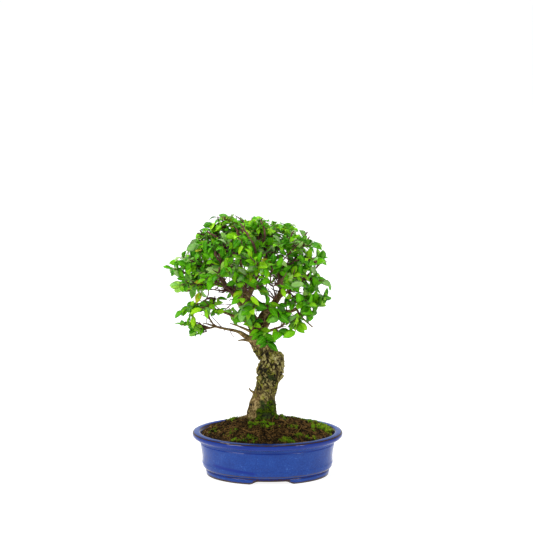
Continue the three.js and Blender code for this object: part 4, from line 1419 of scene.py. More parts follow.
@dataclass
class Trunk:
    """The leaning trunk with its flared foot, its knobs, its limbs and the roots at its base."""

    stem: Rows = (
        (-6, 12, 36, 10), (-6.1, 12, 50, 15), (-6.1, 12, 60, 17.6), (-6, 12, 67, 17.3),
        (-5.6, 12, 74, 16.2), (-5.1, 12, 82, 14.8), (-4.2, 12, 90, 13.1), (-2.4, 11.5, 97, 12.6),
        (-1, 10.6, 104, 12.5), (0.4, 10, 111, 12.7), (2.6, 9, 118, 14.6), (4.4, 8, 124.5, 14.4),
        (6, 7, 131, 12.8), (4.6, 6.5, 136, 12), (1.2, 6, 140.5, 10.9), (-4.2, 5, 146, 10),
        (-8.6, 4, 152, 9.4), (-11, 3, 158.5, 9.2), (-12.2, 2, 165, 8.6), (-12.8, 1, 171, 7.2),
    )
    # bearing in degrees (0 right, -90 front), height, bulge and spread
    knobs: Rows = (
        (2, 135, 1.8, 4.5), (-20, 122, 1.2, 6), (176, 115, 2.6, 3.5), (-118, 126, 2, 7),
        (-60, 141, 2.2, 6), (70, 106, 2.4, 7), (110, 136, 2.6, 8), (-150, 94, 1.4, 6),
    )
    roots: tuple[Rows, ...] = (
        ((0, 7, 61, 7), (12, 1, 62.4, 4.6), (22, -3, 62.6, 3), (31, -6, 58, 1.6)),
        ((-12, 4, 61, 7), (-20, -6, 61.4, 4.2), (-27, -12, 60.4, 2.8), (-34, -17, 55, 1.6)),
        ((-16, 16, 60, 7), (-30, 20, 58.3, 4.2), (-41, 24, 55.3, 2.8), (-50, 28, 48, 1.6)),
        ((-3, 22, 60, 7), (3, 33, 57.6, 4.2), (9, 41, 54.6, 2.6), (13, 47, 48, 1.6)),
    )
    around: int = 170
    stations: int = 320
    moss_blade_count: int = 2400
    # width, depth and height of the bark's plates, of the flakes on them, its ridges and its fibres
    plate: Row = (4.6, 4.6, 10.5)
    flake: Row = (1.9, 1.9, 4.6)
    ridge: Row = (6.0, 6.0, 9.0)
    fibre: Row = (1.7, 1.7, 9.0)
    # how deep the bark of a limb is as a share of its radius, and at most
    limb_bark: Row = (0.13, 0.8)

    def axis(self, z: Array) -> Array:
        """The x and y of the trunk's middle at each height."""
        stem = np.array(self.stem)
        return np.array([np.interp(z, stem[:, 2], stem[:, k]) for k in (0, 1)])

    def relief(self, bearing: Array, z: Array) -> Array:
        """How far the trunk stands out: low flutes that wind up it, and its knobs.

        Args:
            bearing: round the trunk, in radians.
            z: height above the ground.

        Returns:
            Millimetres.
        """
        shallow = np.clip((178 - z) / 30, 0.3, 1)
        flutes = 0.8 * np.sin(3 * bearing + z / 13) + 0.6 * np.sin(5 * bearing - z / 9 + 1)
        total = flutes * shallow
        for degrees, height, bulge, spread in self.knobs:
            turn = np.cos(bearing - math.radians(degrees)) - 1
            total = total + bulge * np.exp(12 * turn) * bell(height, spread, z)
        return total

    def stem_skin(self) -> Skin:
        """The trunk: its section at each height is a circle plus the relief and the bark.

        Returns:
            The trunk without its limbs.
        """
        line = smooth_line(np.array(self.stem, float), self.stations)
        sides, outward = carried(line[None, :, :3], np.array([[1.0, 0.0, 0.0]]))
        bearing = np.linspace(0, 2 * math.pi, self.around, endpoint=False)
        radius = line[:, 3:] + self.relief(bearing[None], line[:, 2:3])
        across = np.cos(bearing)[None, :, None] * sides[0][:, None]
        across = across - np.sin(bearing)[None, :, None] * outward[0][:, None]
        rows = line[:, None, :3] + across * radius[..., None]
        skin = turned(rows)
        return self.barked(skin, np.append(across.reshape(-1, 3), np.zeros((2, 3)), axis=0), 1.0)

    def barked(self, skin: Skin, outward: Array, strength: float | Array) -> Skin:
        """Raises the bark's plates and sinks its cracks.

        Plates are slanting cells, each lifted by its own amount, and the lines between them sink.
        Flakes break them up, and sharp-crested noise stretched up the trunk gives the ridges and
        fibres. All of it is deepest on the burl between 100 and 150 mm above the ground.

        Args:
            skin: the smooth wood.
            outward: the direction in which each corner is moved.
            strength: how deep the bark is here, 1 on the trunk.

        Returns:
            The skin with its bark and the value "relief", 0 in the cracks and 1 on the plates.
        """
        places = skin.places
        bend = places + 3.2 * np.stack([noise(places / 6, 60 + k) for k in range(3)], axis=-1)
        slant = bend + np.array([0.6, 0.3, 0.0]) * bend[:, 2:3]
        burl = ease(98, 110, places[:, 2]) * ease(154, 142, places[:, 2])
        crack, own = cells(slant / np.array(self.plate), 50)
        chip, own_chip = cells((places + 0.35 * (slant - places)) / np.array(self.flake), 52)
        grain = 1 - np.abs(rough(slant / np.array(self.fibre), 3, 55)) * 1.6
        ridge = 1 - np.abs(rough(bend / np.array(self.ridge), 2, 65)) * 1.8
        ragged = rough(places / 1.5, 3, 57)
        open_crack = ease(0.2, 0.0, crack) * (0.2 + 0.8 * burl)
        broken = ease(-0.25, 0.45, rough(places / 9, 2, 69)) * (0.35 + 0.65 * burl)
        open_chip = ease(0.16, 0.0, chip) * broken
        lift = (0.5 + 1.2 * burl) * (own - 0.5) + (0.3 + 1.1 * burl) * ridge + 0.4 * grain
        lift = lift + (0.4 + 0.5 * burl) * (own_chip - 0.5) * broken + 0.3 * ragged
        lift = lift - (0.9 + 0.7 * burl) * open_crack - 0.35 * open_chip - 0.5
        skin.places = places + outward * (lift * strength)[:, None]
        # the colour level: the plates' own tone, with the cracks and hollows darkened partly as painted
        # shade and the ridges lightened partly as painted highlight
        level = 0.31 + (0.16 + 0.24 * burl) * (own - 0.5) + 0.26 * grain + 0.14 * ragged
        level = level + (0.12 + 0.08 * burl) * (own_chip - 0.5) * broken
        level = level + (0.1 + 0.24 * burl) * ridge + 0.1 * rough(places / 12, 2, 68)
        level = level - 0.6 * open_crack - 0.18 * open_chip
        # painted shadow: the bark is drawn darker in the deep crevice on the left front of the neck,
        # about 146 mm up
        neck_shadow = bell(146, 7, places[:, 2]) * ease(-2, -9, places[:, 0])
        level = level - 0.22 * neck_shadow * (places[:, 1] < 8)
        calm = np.broadcast_to(np.clip(strength, 0, 1), level.shape) * 0.6 + 0.4
        skin.values["relief"] = np.clip(0.5 + (level - 0.5) * calm, 0, 1)
        return skin

    def growth(self, skin: Skin) -> Skin:
        """Marks where lichen, moss, brown young wood and pale fresh bark lie.

        Args:
            skin: the trunk and limbs.

        Returns:
            The same skin with the values "lichen", "moss", "brown" and "pale".
        """
        x, y, z = skin.places.T
        axis_x, axis_y = self.axis(z)
        bearing = np.degrees(np.arctan2(y - axis_y, x - axis_x))
        cloud = rough(skin.places / 9, 3, 70)
        fine = rough(skin.places / 3, 3, 73)
        tuft = ease(64, 38, np.abs(bearing + 62 + 16 * cloud)) * ease(95, 82, z + 6 * cloud)
        band = ease(52, 30, np.abs(bearing + 86)) * bell(113, 7, z)
        back = 0.6 * bell(100, 60, bearing) * ease(110, 80, z)
        moss = 1.1 * tuft + 1.05 * band + back + 0.5 * ease(66, 62, z)
        skin.values["moss"] = np.clip(moss + 0.35 * cloud + 0.35 * fine - 0.25, 0, 1)
        lichen = ease(80, 94, z) * ease(166, 148, z) * (0.75 + 0.7 * cloud + 0.7 * fine)
        skin.values["lichen"] = np.clip(lichen, 0, 1)
        smooth_foot = ease(-98, -122, bearing) + ease(150, 170, bearing)
        brown = 0.8 * smooth_foot * ease(108, 92, z) + ease(144, 158, z) + 0.4 * cloud
        skin.values["brown"] = np.clip(brown, 0, 1)
        shoulder = bell(137, 9, z) * bell(-58, 22, bearing)
        below = 0.6 * bell(122, 5, z) * bell(-68, 36, bearing)
        pale = (1.2 * shoulder + below) * (0.7 + 0.6 * fine) + 0.3 * cloud * ease(100, 140, z)
        skin.values["pale"] = np.clip(pale, 0, 1)
        return skin

    def moss_skin(self, skin: Skin) -> Skin:
        """Moss that stands on the trunk where the wood is marked as mossy, up to 118 mm.

        Args:
            skin: the trunk and limbs, marked.

        Returns:
            All the blades.
        """
        rng = np.random.default_rng(9)
        z = skin.places[:, 2]
        aside = skin.places[:, :2] - self.axis(z).T
        clump = ease(-0.1, 0.5, rough(skin.places / 3.4, 2, 77))
        chance = ease(0.45, 0.9, skin.values["moss"]) * ease(122, 84, z) * clump
        chance = chance * (np.hypot(*aside.T) < 24) * (z > 58)
        chosen = rng.choice(len(z), self.moss_blade_count, p=chance / chance.sum())
        foot = skin.places[chosen] + rng.normal(0, 0.3, (len(chosen), 3))
        outward = unit(np.column_stack([aside, 0 * z])[chosen])
        ahead = unit(outward + np.array([0, 0, 0.45]) + rng.normal(0, 0.4, foot.shape))
        tall = (0.9 + 2.2 * rng.random(len(chosen))) * ease(125, 85, foot[:, 2])
        made = moss_blades(foot, ahead, tall, rng)
        made.values["tip"] = made.values["tip"] * 0.62
        return made

    def limb_skins(self) -> list[Skin]:
        """Limbs and roots: smooth round bars with shallower bark, swollen by small random knuckles.

        Returns:
            One skin for each.
        """
        share, most = self.limb_bark
        ways = [np.array(way, float) for way in (*(limb.way for limb in LIMBS), *self.roots)]
        skins = []
        for number, way in enumerate(ways):
            length = np.linalg.norm(np.diff(way[:, :3], axis=0), axis=1).sum()
            line = smooth_line(way, max(12, int(length / 1.1)))
            wander = np.stack([noise(line[:, :3] / 9 + 3 * number, 80 + k) for k in range(3)], axis=-1)
            wander[0] = 0
            points = line[:, :3] + 0.22 * line[:, 3:] * wander
            radii = line[:, 3] * (1 + 0.1 * noise(line[:, :3] / 5, 90 + number))
            around = 22 if way[0, 3] > 4 else 14 if way[0, 3] > 2 else 10
            skin = tubes(points[None], radii[None], around, number)
            middle = np.vstack([np.repeat(points, around, axis=0), points[:1], points[-1:]])
            outward = unit(skin.places - middle)
            outward[-2:] = 0
            depth = np.append(np.repeat(radii, around), [0, 0]) * share
            skins.append(self.barked(skin, outward, np.minimum(depth, most)))
        return skins

    def make(self, bench: Bench, soil: Soil) -> None:
        """Adds the trunk, limbs and roots to the scene, and the moss on them and on the soil.

        Args:
            bench: where the pieces are put together.
            soil: the soil, whose moss goes into the same piece.
        """
        skin = self.growth(joined([self.stem_skin(), *self.limb_skins()]))
        bench.piece("trunk_and_limbs", skin, Bark().material(), ["trunk"])
        moss = joined([soil.moss_skin(), self.moss_skin(skin)])
        bench.piece("moss", moss, Moss().material(), [])


# The crown

@dataclass
class Spray:
    """One leafy shoot: where it starts, where it heads, its length, its leaf size and its seed."""

    start: Array
    heading: Array
    length: float
    leaf: float
    seed: int
    side_shoots: int = 5
    aged: float = 0.03
    reach: float = 1.0

    @classmethod
    def between(cls, start: Row, end: Row, leaf: float, shoots: int, seed: int) -> "Spray":
        """A shoot from one place to another.

        Args:
            start: where it starts.
            end: where it would end if it didn't droop.
            leaf: its leaf size.
            shoots: how many side shoots it has.
            seed: its seed.

        Returns:
            The spray.
        """
        way = np.array(end, float) - np.array(start, float)
        length = float(np.linalg.norm(way))
        return cls(np.array(start, float), way / length, length, leaf, seed, shoots)

    def spot(self, share: Array) -> Array:
        """Places along the shoot, which droops by the square of the share.

        Args:
            share: how far along, from 0 to 1.

        Returns:
            One place for each share.
        """
        share = np.asarray(share, float)[..., None]
        droop = np.array([0.0, 0.0, 0.12 * self.length])
        return self.start + self.heading * self.length * share - droop * share ** 2


@dataclass
class Bud:
    """A place on the wood from which a twig may grow, and how many sprays it feeds."""

    place: Array
    ahead: Array
    parent: "Bud | None" = None
    load: int = 0
    turn_cost: ClassVar[float] = 0.5
    too_short: ClassVar[float] = 7.0
    short_cost: ClassVar[float] = 30.0

    def gap(self, spray: Spray) -> float:
        """How far from here the spray starts."""
        return float(np.linalg.norm(spray.start - self.place))

    def cost(self, spray: Spray) -> float:
        """What a twig from here to the spray costs.

        Its length counts, more so if the twig has to turn, and a very short one costs more.

        Args:
            spray: the spray.

        Returns:
            The cost, in millimetres.
        """
        gap = self.gap(spray)
        turn = 1 - float((spray.start - self.place) @ self.ahead) / gap
        return gap * (1 + self.turn_cost * turn) + (self.short_cost if gap < self.too_short else 0)


# A spray, its twig's two joints, and the four control points of the twig's curve
Twig = tuple[Spray, list[Bud], Array]
# Where a leaf is fixed, where it points, how it faces, and its length
Leaf = tuple[Array, Array, Array, float]


@dataclass
class Leaves:
    """Many leaves at once: where each is fixed, where it points, how it faces and how big it is."""

    foot: Array
    along: Array
    face: Array
    size: Array
    tone: Array
    age: Array
    film: Array

    # stations along the blade as shares of its length, and half widths as shares of its width:
    # an oval with a short point, whose small teeth swell forward and step back
    stations: ClassVar[Array] = np.array([0.05, 0.16, 0.3, 0.33, 0.48, 0.51, 0.66, 0.69, 0.82, 0.92])
    half_widths: ClassVar[Array] = np.array(
        [0.15, 0.35, 0.47, 0.455, 0.505, 0.485, 0.435, 0.41, 0.265, 0.12]
    )

    def skin(self) -> Skin:
        """All the blades as one skin.

        A blade is a grid of stations along it and five columns across it, closed below by a single
        rib. Its height is an arch, s times (0.9 - s), plus a fold that rises to both edges, plus a
        twist that grows to the tip.

        Returns:
            The skin, with its flat map and the values "tone", "age", "film" and "under".
        """
        count = len(self.size)
        rng = np.random.default_rng(int(self.size[0] * 1e4) % 99991)
        shares = self.stations
        across = np.array([-1, -0.5, 0, 0.5, 1])[None] * self.half_widths[:, None]
        grid_s = np.concatenate([[-0.015], np.repeat(shares, 5), shares, [1.0]])
        grid_c = np.concatenate([[0.0], across.ravel(), np.zeros(len(shares)), [0.0]])
        below = np.concatenate([[0.0], np.zeros(across.size), np.ones(len(shares)), [0.0]])
        arch = 0.5 * (0.6 + 0.8 * rng.random(count))[:, None]
        fold = 0.26 * (0.3 + 1.3 * rng.random(count))[:, None]
        twist = rng.normal(0, 0.5, count)[:, None]
        size = self.size[:, None]
        width = (0.44 + 0.15 * rng.random(count))[:, None] * size
        ripple = 0.05 * np.sin(grid_s * 34 + 7 * rng.random(count)[:, None]) * np.abs(grid_c) * 2
        height = arch * grid_s * (0.9 - grid_s) * size - 0.28 * below
        height = height + (fold * np.abs(grid_c) + twist * grid_c * grid_s + ripple) * width
        side = np.cross(self.face, self.along)
        places = self.foot[:, None] + self.along[:, None] * (grid_s * size)[..., None]
        places = places + side[:, None] * (grid_c * width)[..., None]
        places = places + self.face[:, None] * height[..., None]
        quads, tris = self.faces(len(shares))
        each = len(grid_s)
        shift = (np.arange(count) * each)[:, None, None]
        values = {"tone": self.tone, "age": self.age, "film": self.film}
        values = {name: np.repeat(value, each) for name, value in values.items()}
        values["under"] = np.tile(below, count)
        flat = np.tile(np.stack([grid_s, grid_c + 0.5], axis=-1), (count, 1))
        quads = (quads[None] + shift).reshape(-1, 4)
        tris = (tris[None] + shift).reshape(-1, 3)
        return Skin(places.reshape(-1, 3), quads, tris, values, flat)

    @staticmethod
    def faces(stations: int) -> tuple[Array, Array]:
        """The faces of one blade: its upper grid, its lower strip, and the fans at both ends.

        Args:
            stations: how many there are.

        Returns:
            Faces of four corners and faces of three.
        """
        top = 1 + np.arange(stations * 5).reshape(stations, 5)
        rib = 1 + stations * 5 + np.arange(stations)
        tip = 1 + stations * 6
        low, high = top[:-1], top[1:]
        upper = np.stack([low[:, :-1], low[:, 1:], high[:, 1:], high[:, :-1]], axis=-1).reshape(-1, 4)
        left = np.stack([low[:, 0], high[:, 0], rib[1:], rib[:-1]], axis=-1)
        right = np.stack([rib[:-1], rib[1:], high[:, 4], low[:, 4]], axis=-1)
        base = np.zeros(4, int)
        foot = np.stack([base, top[0, 1:], top[0, :-1]], axis=-1)
        head = np.stack([base + tip, top[-1, :-1], top[-1, 1:]], axis=-1)
        under = np.array([
            [0, top[0, 0], rib[0]], [0, rib[0], top[0, 4]],
            [tip, rib[-1], top[-1, 0]], [tip, top[-1, 4], rib[-1]],
        ])
        return np.vstack([upper, left, right]), np.vstack([foot, head, under])


@dataclass
class Outline:
    """The outline that the crown is trimmed to, and the openings in it."""

    # the front outline that the crown is trimmed to: height as it is seen against the plane through
    # the middle of the pot, and how far the leaves reach left and right there
    trimmed: Rows = (
        (140, -18, 14), (158, -30, 17), (165, -86, 32), (173, -98, 42), (180, -104, 50),
        (187, -106, 50), (194, -101, 60), (201, -98, 70), (208, -102, 71), (215, -108, 73),
        (222, -112, 71), (229, -110, 69), (236, -110, 60), (243, -114, 59), (250, -106, 66),
        (257, -97, 67), (264, -92, 70), (271, -87, 66), (278, -85, 57), (285, -84, 45),
        (292, -80, 37), (299, -79, 23), (306, -52, -30),
    )
    crest: Rows = (
        (-92, 262), (-84, 290), (-78, 299), (-64, 302), (-48, 306), (-38, 305), (-22, 297),
        (-2, 300), (12, 298), (26, 295), (36, 291), (45, 282), (57, 275), (70, 262), (78, 240),
    )
    # how much higher a place is seen for each millimetre that it lies further back
    view_slope: float = 0.1845
    # openings through which the limbs are seen: middle x, seen height, reach both ways, and the
    # depth in front of which no leaf grows
    windows: Rows = (
        (-46, 199, 13, 9, 60), (-50, 182, 17, 9, 60), (8, 210, 7, 9, 60), (27, 211, 6, 5, 60),
        (10, 178, 8, 7, 60), (-22, 213, 11, 11, 4), (-46, 217, 15, 9, 2), (6, 222, 8, 7, 2),
        (-4, 189, 6, 6, 60), (-30, 172, 11, 8, 60), (-50, 228, 8, 6, -8), (10, 234, 7, 8, -10),
        (26, 251, 5, 5, -24), (28, 168, 16, 7, 60), (-94, 211, 9, 5, 60), (62, 190, 8, 5, 60),
        (-23, 285, 4, 8, -38), (-62, 280, 6, 4, -24), (-4, 288, 3, 6, -32),
    )
    # where the middle of the crown's plan lies, to the back
    middle_depth: float = 7.0
    # how far a spray sinks and how far it moves in at most
    sink_limit: float = 9.0
    aside_limit: float = 7.0

    def kept(self, points: Array) -> Array:
        """Which places lie inside the outline that the crown is trimmed to."""
        return self.room(points) > 0

    def room(self, points: Array) -> Array:
        """How many millimetres each place lies inside the outline that the crown is trimmed to.

        To the front the outline counts as it is seen, and in depth the crown's plan is a squared-off
        oval as wide as the outline. Noise lets some clumps of leaves stand out and draws others in,
        and no leaf stays in one of the windows.

        Args:
            points: the places.

        Returns:
            Millimetres, less than nought outside.
        """
        x, y, z = points.T
        seen = z + self.view_slope * y
        height, left, right = np.array(self.trimmed, float).T
        low = np.interp(seen, height, left)
        high = np.interp(seen, height, right)
        edge = 5.5 * noise(points / 14, 33) + 2.5 * noise(points / 5, 34) - 1
        inside = np.minimum(x - low, high - x) + edge
        above = np.interp(x, *np.array(self.crest, float).T) + edge - seen
        inside = np.minimum(inside, above)
        half = (high - low) / 2
        share_x = np.abs(x - (low + high) / 2) / half
        share_y = np.abs(y - self.middle_depth) / np.maximum(0.96 * half, 40)
        inside = np.minimum(inside, 20 * (1.15 - share_x ** 3 - share_y ** 3) + 0.8 * edge)
        for mid_x, mid_z, reach_x, reach_z, before in self.windows:
            gap = np.hypot((x - mid_x) / reach_x, (seen - mid_z) / reach_z)
            inside = np.where(y > before, inside, np.minimum(inside, (gap - 1) * reach_z))
        return inside

    def shift(self, tip: Array) -> Array:
        """How a shoot is drawn in so that its tip isn't seen outside.

        Args:
            tip: where it ends.

        Returns:
            The way that it moves.
        """
        seen = tip[2] + self.view_slope * tip[1]
        height, left, right = np.array(self.trimmed, float).T
        excess = seen - float(np.interp(tip[0], *np.array(self.crest, float).T))
        aside = max(float(np.interp(seen, height, left)) - tip[0], 0.0)
        aside -= max(tip[0] - float(np.interp(seen, height, right)), 0.0)
        sink = min(max(excess, 0.0), self.sink_limit)
        return np.array([np.clip(aside, -self.aside_limit, self.aside_limit), 0, -sink])


@dataclass
class YoungWood:
    """The twigs that carry the sprays, and the bare shoots among them."""

    outline: Outline
    middle: Row
    # strong red-brown shoots that show at the front of the crown: x, y, z and radius along each
    leaders: tuple[Rows, ...] = (
        ((-10, -7, 243, 1.5), (-12, -30, 262, 1.4), (-16, -47, 279, 1.3), (-24, -43, 291, 1.1),
         (-31, -35, 301, 0.7)),
        ((-31, 11, 250, 1.4), (-40, -6, 264, 1.3), (-52, -25, 279, 1.2), (-62, -27, 286, 1),
         (-69, -27, 290.5, 0.7)),
        ((-7, -9, 258, 1.3), (-6, -24, 273, 1.2), (-3, -37, 288, 1.1), (-5, -35, 297, 0.9),
         (-8, -31, 302, 0.6)),
        ((36, 16, 245, 1.2), (37, 6, 258, 1.1), (38, -6, 270, 1), (42, -8, 280, 0.9),
         (45, -9, 286, 0.6)),
        ((-52, 6, 226, 1.3), (-58, -12, 240, 1.2), (-62, -32, 255, 1.1), (-57, -44, 262, 0.9),
         (-60, -48, 271, 0.6)),
        ((42, 3, 230, 1.2), (50, -10, 240, 1.1), (58, -16, 249, 1), (63, -18, 253, 0.8),
         (67, -20, 254, 0.5)),
    )
    # bundles of bare twigs that show in the openings: where they leave a limb, where they aim, and
    # how many there are
    tangles: tuple[tuple[Row, Row, int], ...] = (
        ((-36, 3, 213), (-52, -6, 228), 12), ((-42, 4, 217.5), (-58, -4, 224), 10),
        ((-30, 1.5, 209.5), (-48, -6, 219), 7), ((-26.5, 4, 214), (-32, -4, 236), 8),
        ((15.6, 9, 213), (12, -8, 234), 12), ((10, 8, 203.4), (5, -2, 221), 7),
        ((17, 10, 221), (20, -4, 240), 9), ((30, 15, 236), (26, -12, 252), 9),
        ((-19, -2, 218), (-16, -10, 236), 7), ((24, 4, 214.6), (30, -6, 208), 5),
    )

    def skin(self, twigs: list[Twig], side_shoots: Array) -> Skin:
        """All the young wood: twigs, the sprays' shoots, bare twigs and the strong red shoots.

        Args:
            twigs: the twigs with their sprays.
            side_shoots: the lines of the sprays' side shoots.

        Returns:
            The wood as one skin.
        """
        sprays = [spray for spray, *_ in twigs]
        radii = np.tile(np.linspace(0.55, 0.32, 5), (len(side_shoots), 1))
        return joined([
            self.feeding_twigs(twigs),
            self.main_shoots(sprays),
            tubes(side_shoots, radii, 5, 3),
            self.bare_twigs(),
            self.outer_twigs(sprays),
            self.strong_shoots(),
        ])

    def feeding_twigs(self, twigs: list[Twig]) -> Skin:
        """The twigs from the limbs to the sprays, as thick as what they feed asks for.

        Args:
            twigs: the twigs.

        Returns:
            The twigs as one skin.
        """
        steps = np.linspace(0, 1, 15)
        lines = np.array([bezier(curve, steps) for _, _, curve in twigs])
        wander = np.stack([noise(lines / 8, 100 + k) for k in range(3)], axis=-1)
        lines = lines + 0.5 * wander * np.sin(np.pi * steps)[None, :, None]
        loads = np.array([[bud.load for bud in joints] for _, joints, _ in twigs], float)
        radii = np.stack([np.interp(steps, [0, 0.5, 1], [a, a, b]) for a, b in 0.68 * loads ** 0.42])
        return tubes(lines, radii, 8, 1)

    def main_shoots(self, sprays: list[Spray]) -> Skin:
        """The sprays' own shoots, which turn a little at each leaf and end at the last one.

        Args:
            sprays: the sprays.

        Returns:
            The shoots as one skin.
        """
        steps = np.linspace(0, 1, 9)
        lines = np.array([spray.spot(steps * spray.reach) for spray in sprays])
        sides = unit(np.cross([spray.heading for spray in sprays], [0.0, 0.0, 1.0]))
        zigzag = 0.35 * np.array([0, 1, -1, 1, -1, 1, -1, 1, 0])
        lines = lines + sides[:, None] * zigzag[None, :, None]
        radii = np.tile(0.85 - 0.4 * steps, (len(sprays), 1))
        return tubes(lines, radii, 7, 2)

    def strong_shoots(self) -> Skin:
        """The strong red-brown shoots, swollen at their knots.

        Returns:
            The shoots as one skin.
        """
        lines = np.array([smooth_line(np.array(way, float), 26) for way in self.leaders])
        knots = 1 + 0.16 * np.maximum(0, np.sin(np.linspace(0, 9 * math.pi, 26)))
        points = lines[..., :3]
        points = points + 0.7 * np.stack([noise(points / 5, 110 + k) for k in range(3)], axis=-1)
        return tubes(points, lines[..., 3] * knots, 9, 7)

    def outer_twigs(self, sprays: list[Spray]) -> Skin:
        """Short red-brown shoots that rise from the sprays to the outside of the crown.

        Each runs in four straight lengths, turning by a little at each joint as zelkova shoots do.

        Args:
            sprays: the sprays.

        Returns:
            The shoots as one skin.
        """
        rng = np.random.default_rng(15)
        lines = []
        for spray in sprays:
            if spray.spot(1.0)[2] < 205:
                continue
            for _ in range(6):
                start = spray.spot((0.1 + 0.8 * rng.random()) * spray.reach)
                outward = unit(start - np.array(self.middle) + np.array([0, 0, 12.0]))
                heading = outward + spray.heading * 0.4 + rng.normal(0, 0.45, 3)
                heading = unit(heading + np.array([0, -0.25, 0.2]))
                length = 8 + 11 * rng.random()
                turns = heading + rng.normal(0, 0.24, (4, 3))
                line = start + np.vstack([np.zeros(3), np.cumsum(unit(turns), axis=0)]) * length / 4
                lines.append(line)
        lines = np.array(lines)
        lines = lines[self.outline.kept(lines[:, -1] - (lines[:, -1] - lines[:, -2]) * 0.5)]
        radii = np.array([1.0, 0.92, 0.8, 0.66, 0.42]) * (0.7 + 0.6 * rng.random((len(lines), 1)))
        return tubes(lines, radii, 6, 6)

    def bare_twigs(self) -> Skin:
        """Leafless twigs on the limbs inside the crown, and dry shoot ends that stand out of it.

        Returns:
            The twigs as one skin.
        """
        rng = np.random.default_rng(12)
        lines = []
        for _ in range(170):
            limb = LIMBS[int(rng.integers(0, 17))]
            way = np.array(limb.way, float)[:, :3]
            share = 0.3 + 0.7 * rng.random()
            start, ahead = spline(way, np.array([share, min(share + 0.02, 1)]))
            ahead = unit(ahead - start + 1e-6)
            heading = unit(ahead * 0.9 + rng.normal(0, 0.5, 3) + np.array([0, 0, 0.35]))
            heading[2] = abs(heading[2])
            bend = rng.normal(0, 0.35, (3, 3))
            steps = np.linspace(0, 1, 7)[:, None]
            length = 6 + 13 * rng.random()
            drift = bend[0] * steps ** 2 + bend[1] * np.sin(steps * 5) * 0.2 * steps
            lines.append(start + length * (heading * steps + drift))
        lines = np.array(lines)
        lines = lines[self.outline.kept(lines[:, -1] + (lines[:, -1] - lines[:, 0]) * 0.3)]
        lines = np.concatenate([lines, self.tangle_lines(rng)])
        radii = np.tile(np.linspace(0.7, 0.34, 7), (len(lines), 1))
        radii[-sum(row[2] for row in self.tangles):] *= 1.35
        return tubes(lines, radii, 5, 4)

    def tangle_lines(self, rng: np.random.Generator) -> Array:
        """The bundles of bare twigs: each twig fans out from its limb and bends at three joints.

        Args:
            rng: draws the twigs.

        Returns:
            Their lines as twigs x 7 x 3.
        """
        lines = []
        steps = np.linspace(0, 1, 7)[:, None]
        for start, aim, count in self.tangles:
            way = np.array(aim, float) - np.array(start, float)
            length = float(np.linalg.norm(way))
            for _ in range(count):
                heading = way / length + rng.normal(0, 0.28, 3)
                reach = length * (0.55 + 0.6 * rng.random())
                bend = np.cumsum(np.vstack([np.zeros(3), rng.normal(0, 0.06, (6, 3))]), axis=0)
                foot = np.array(start, float) + rng.normal(0, 0.5, 3)
                lines.append(foot + reach * (heading * steps + bend * steps))
        return np.array(lines)


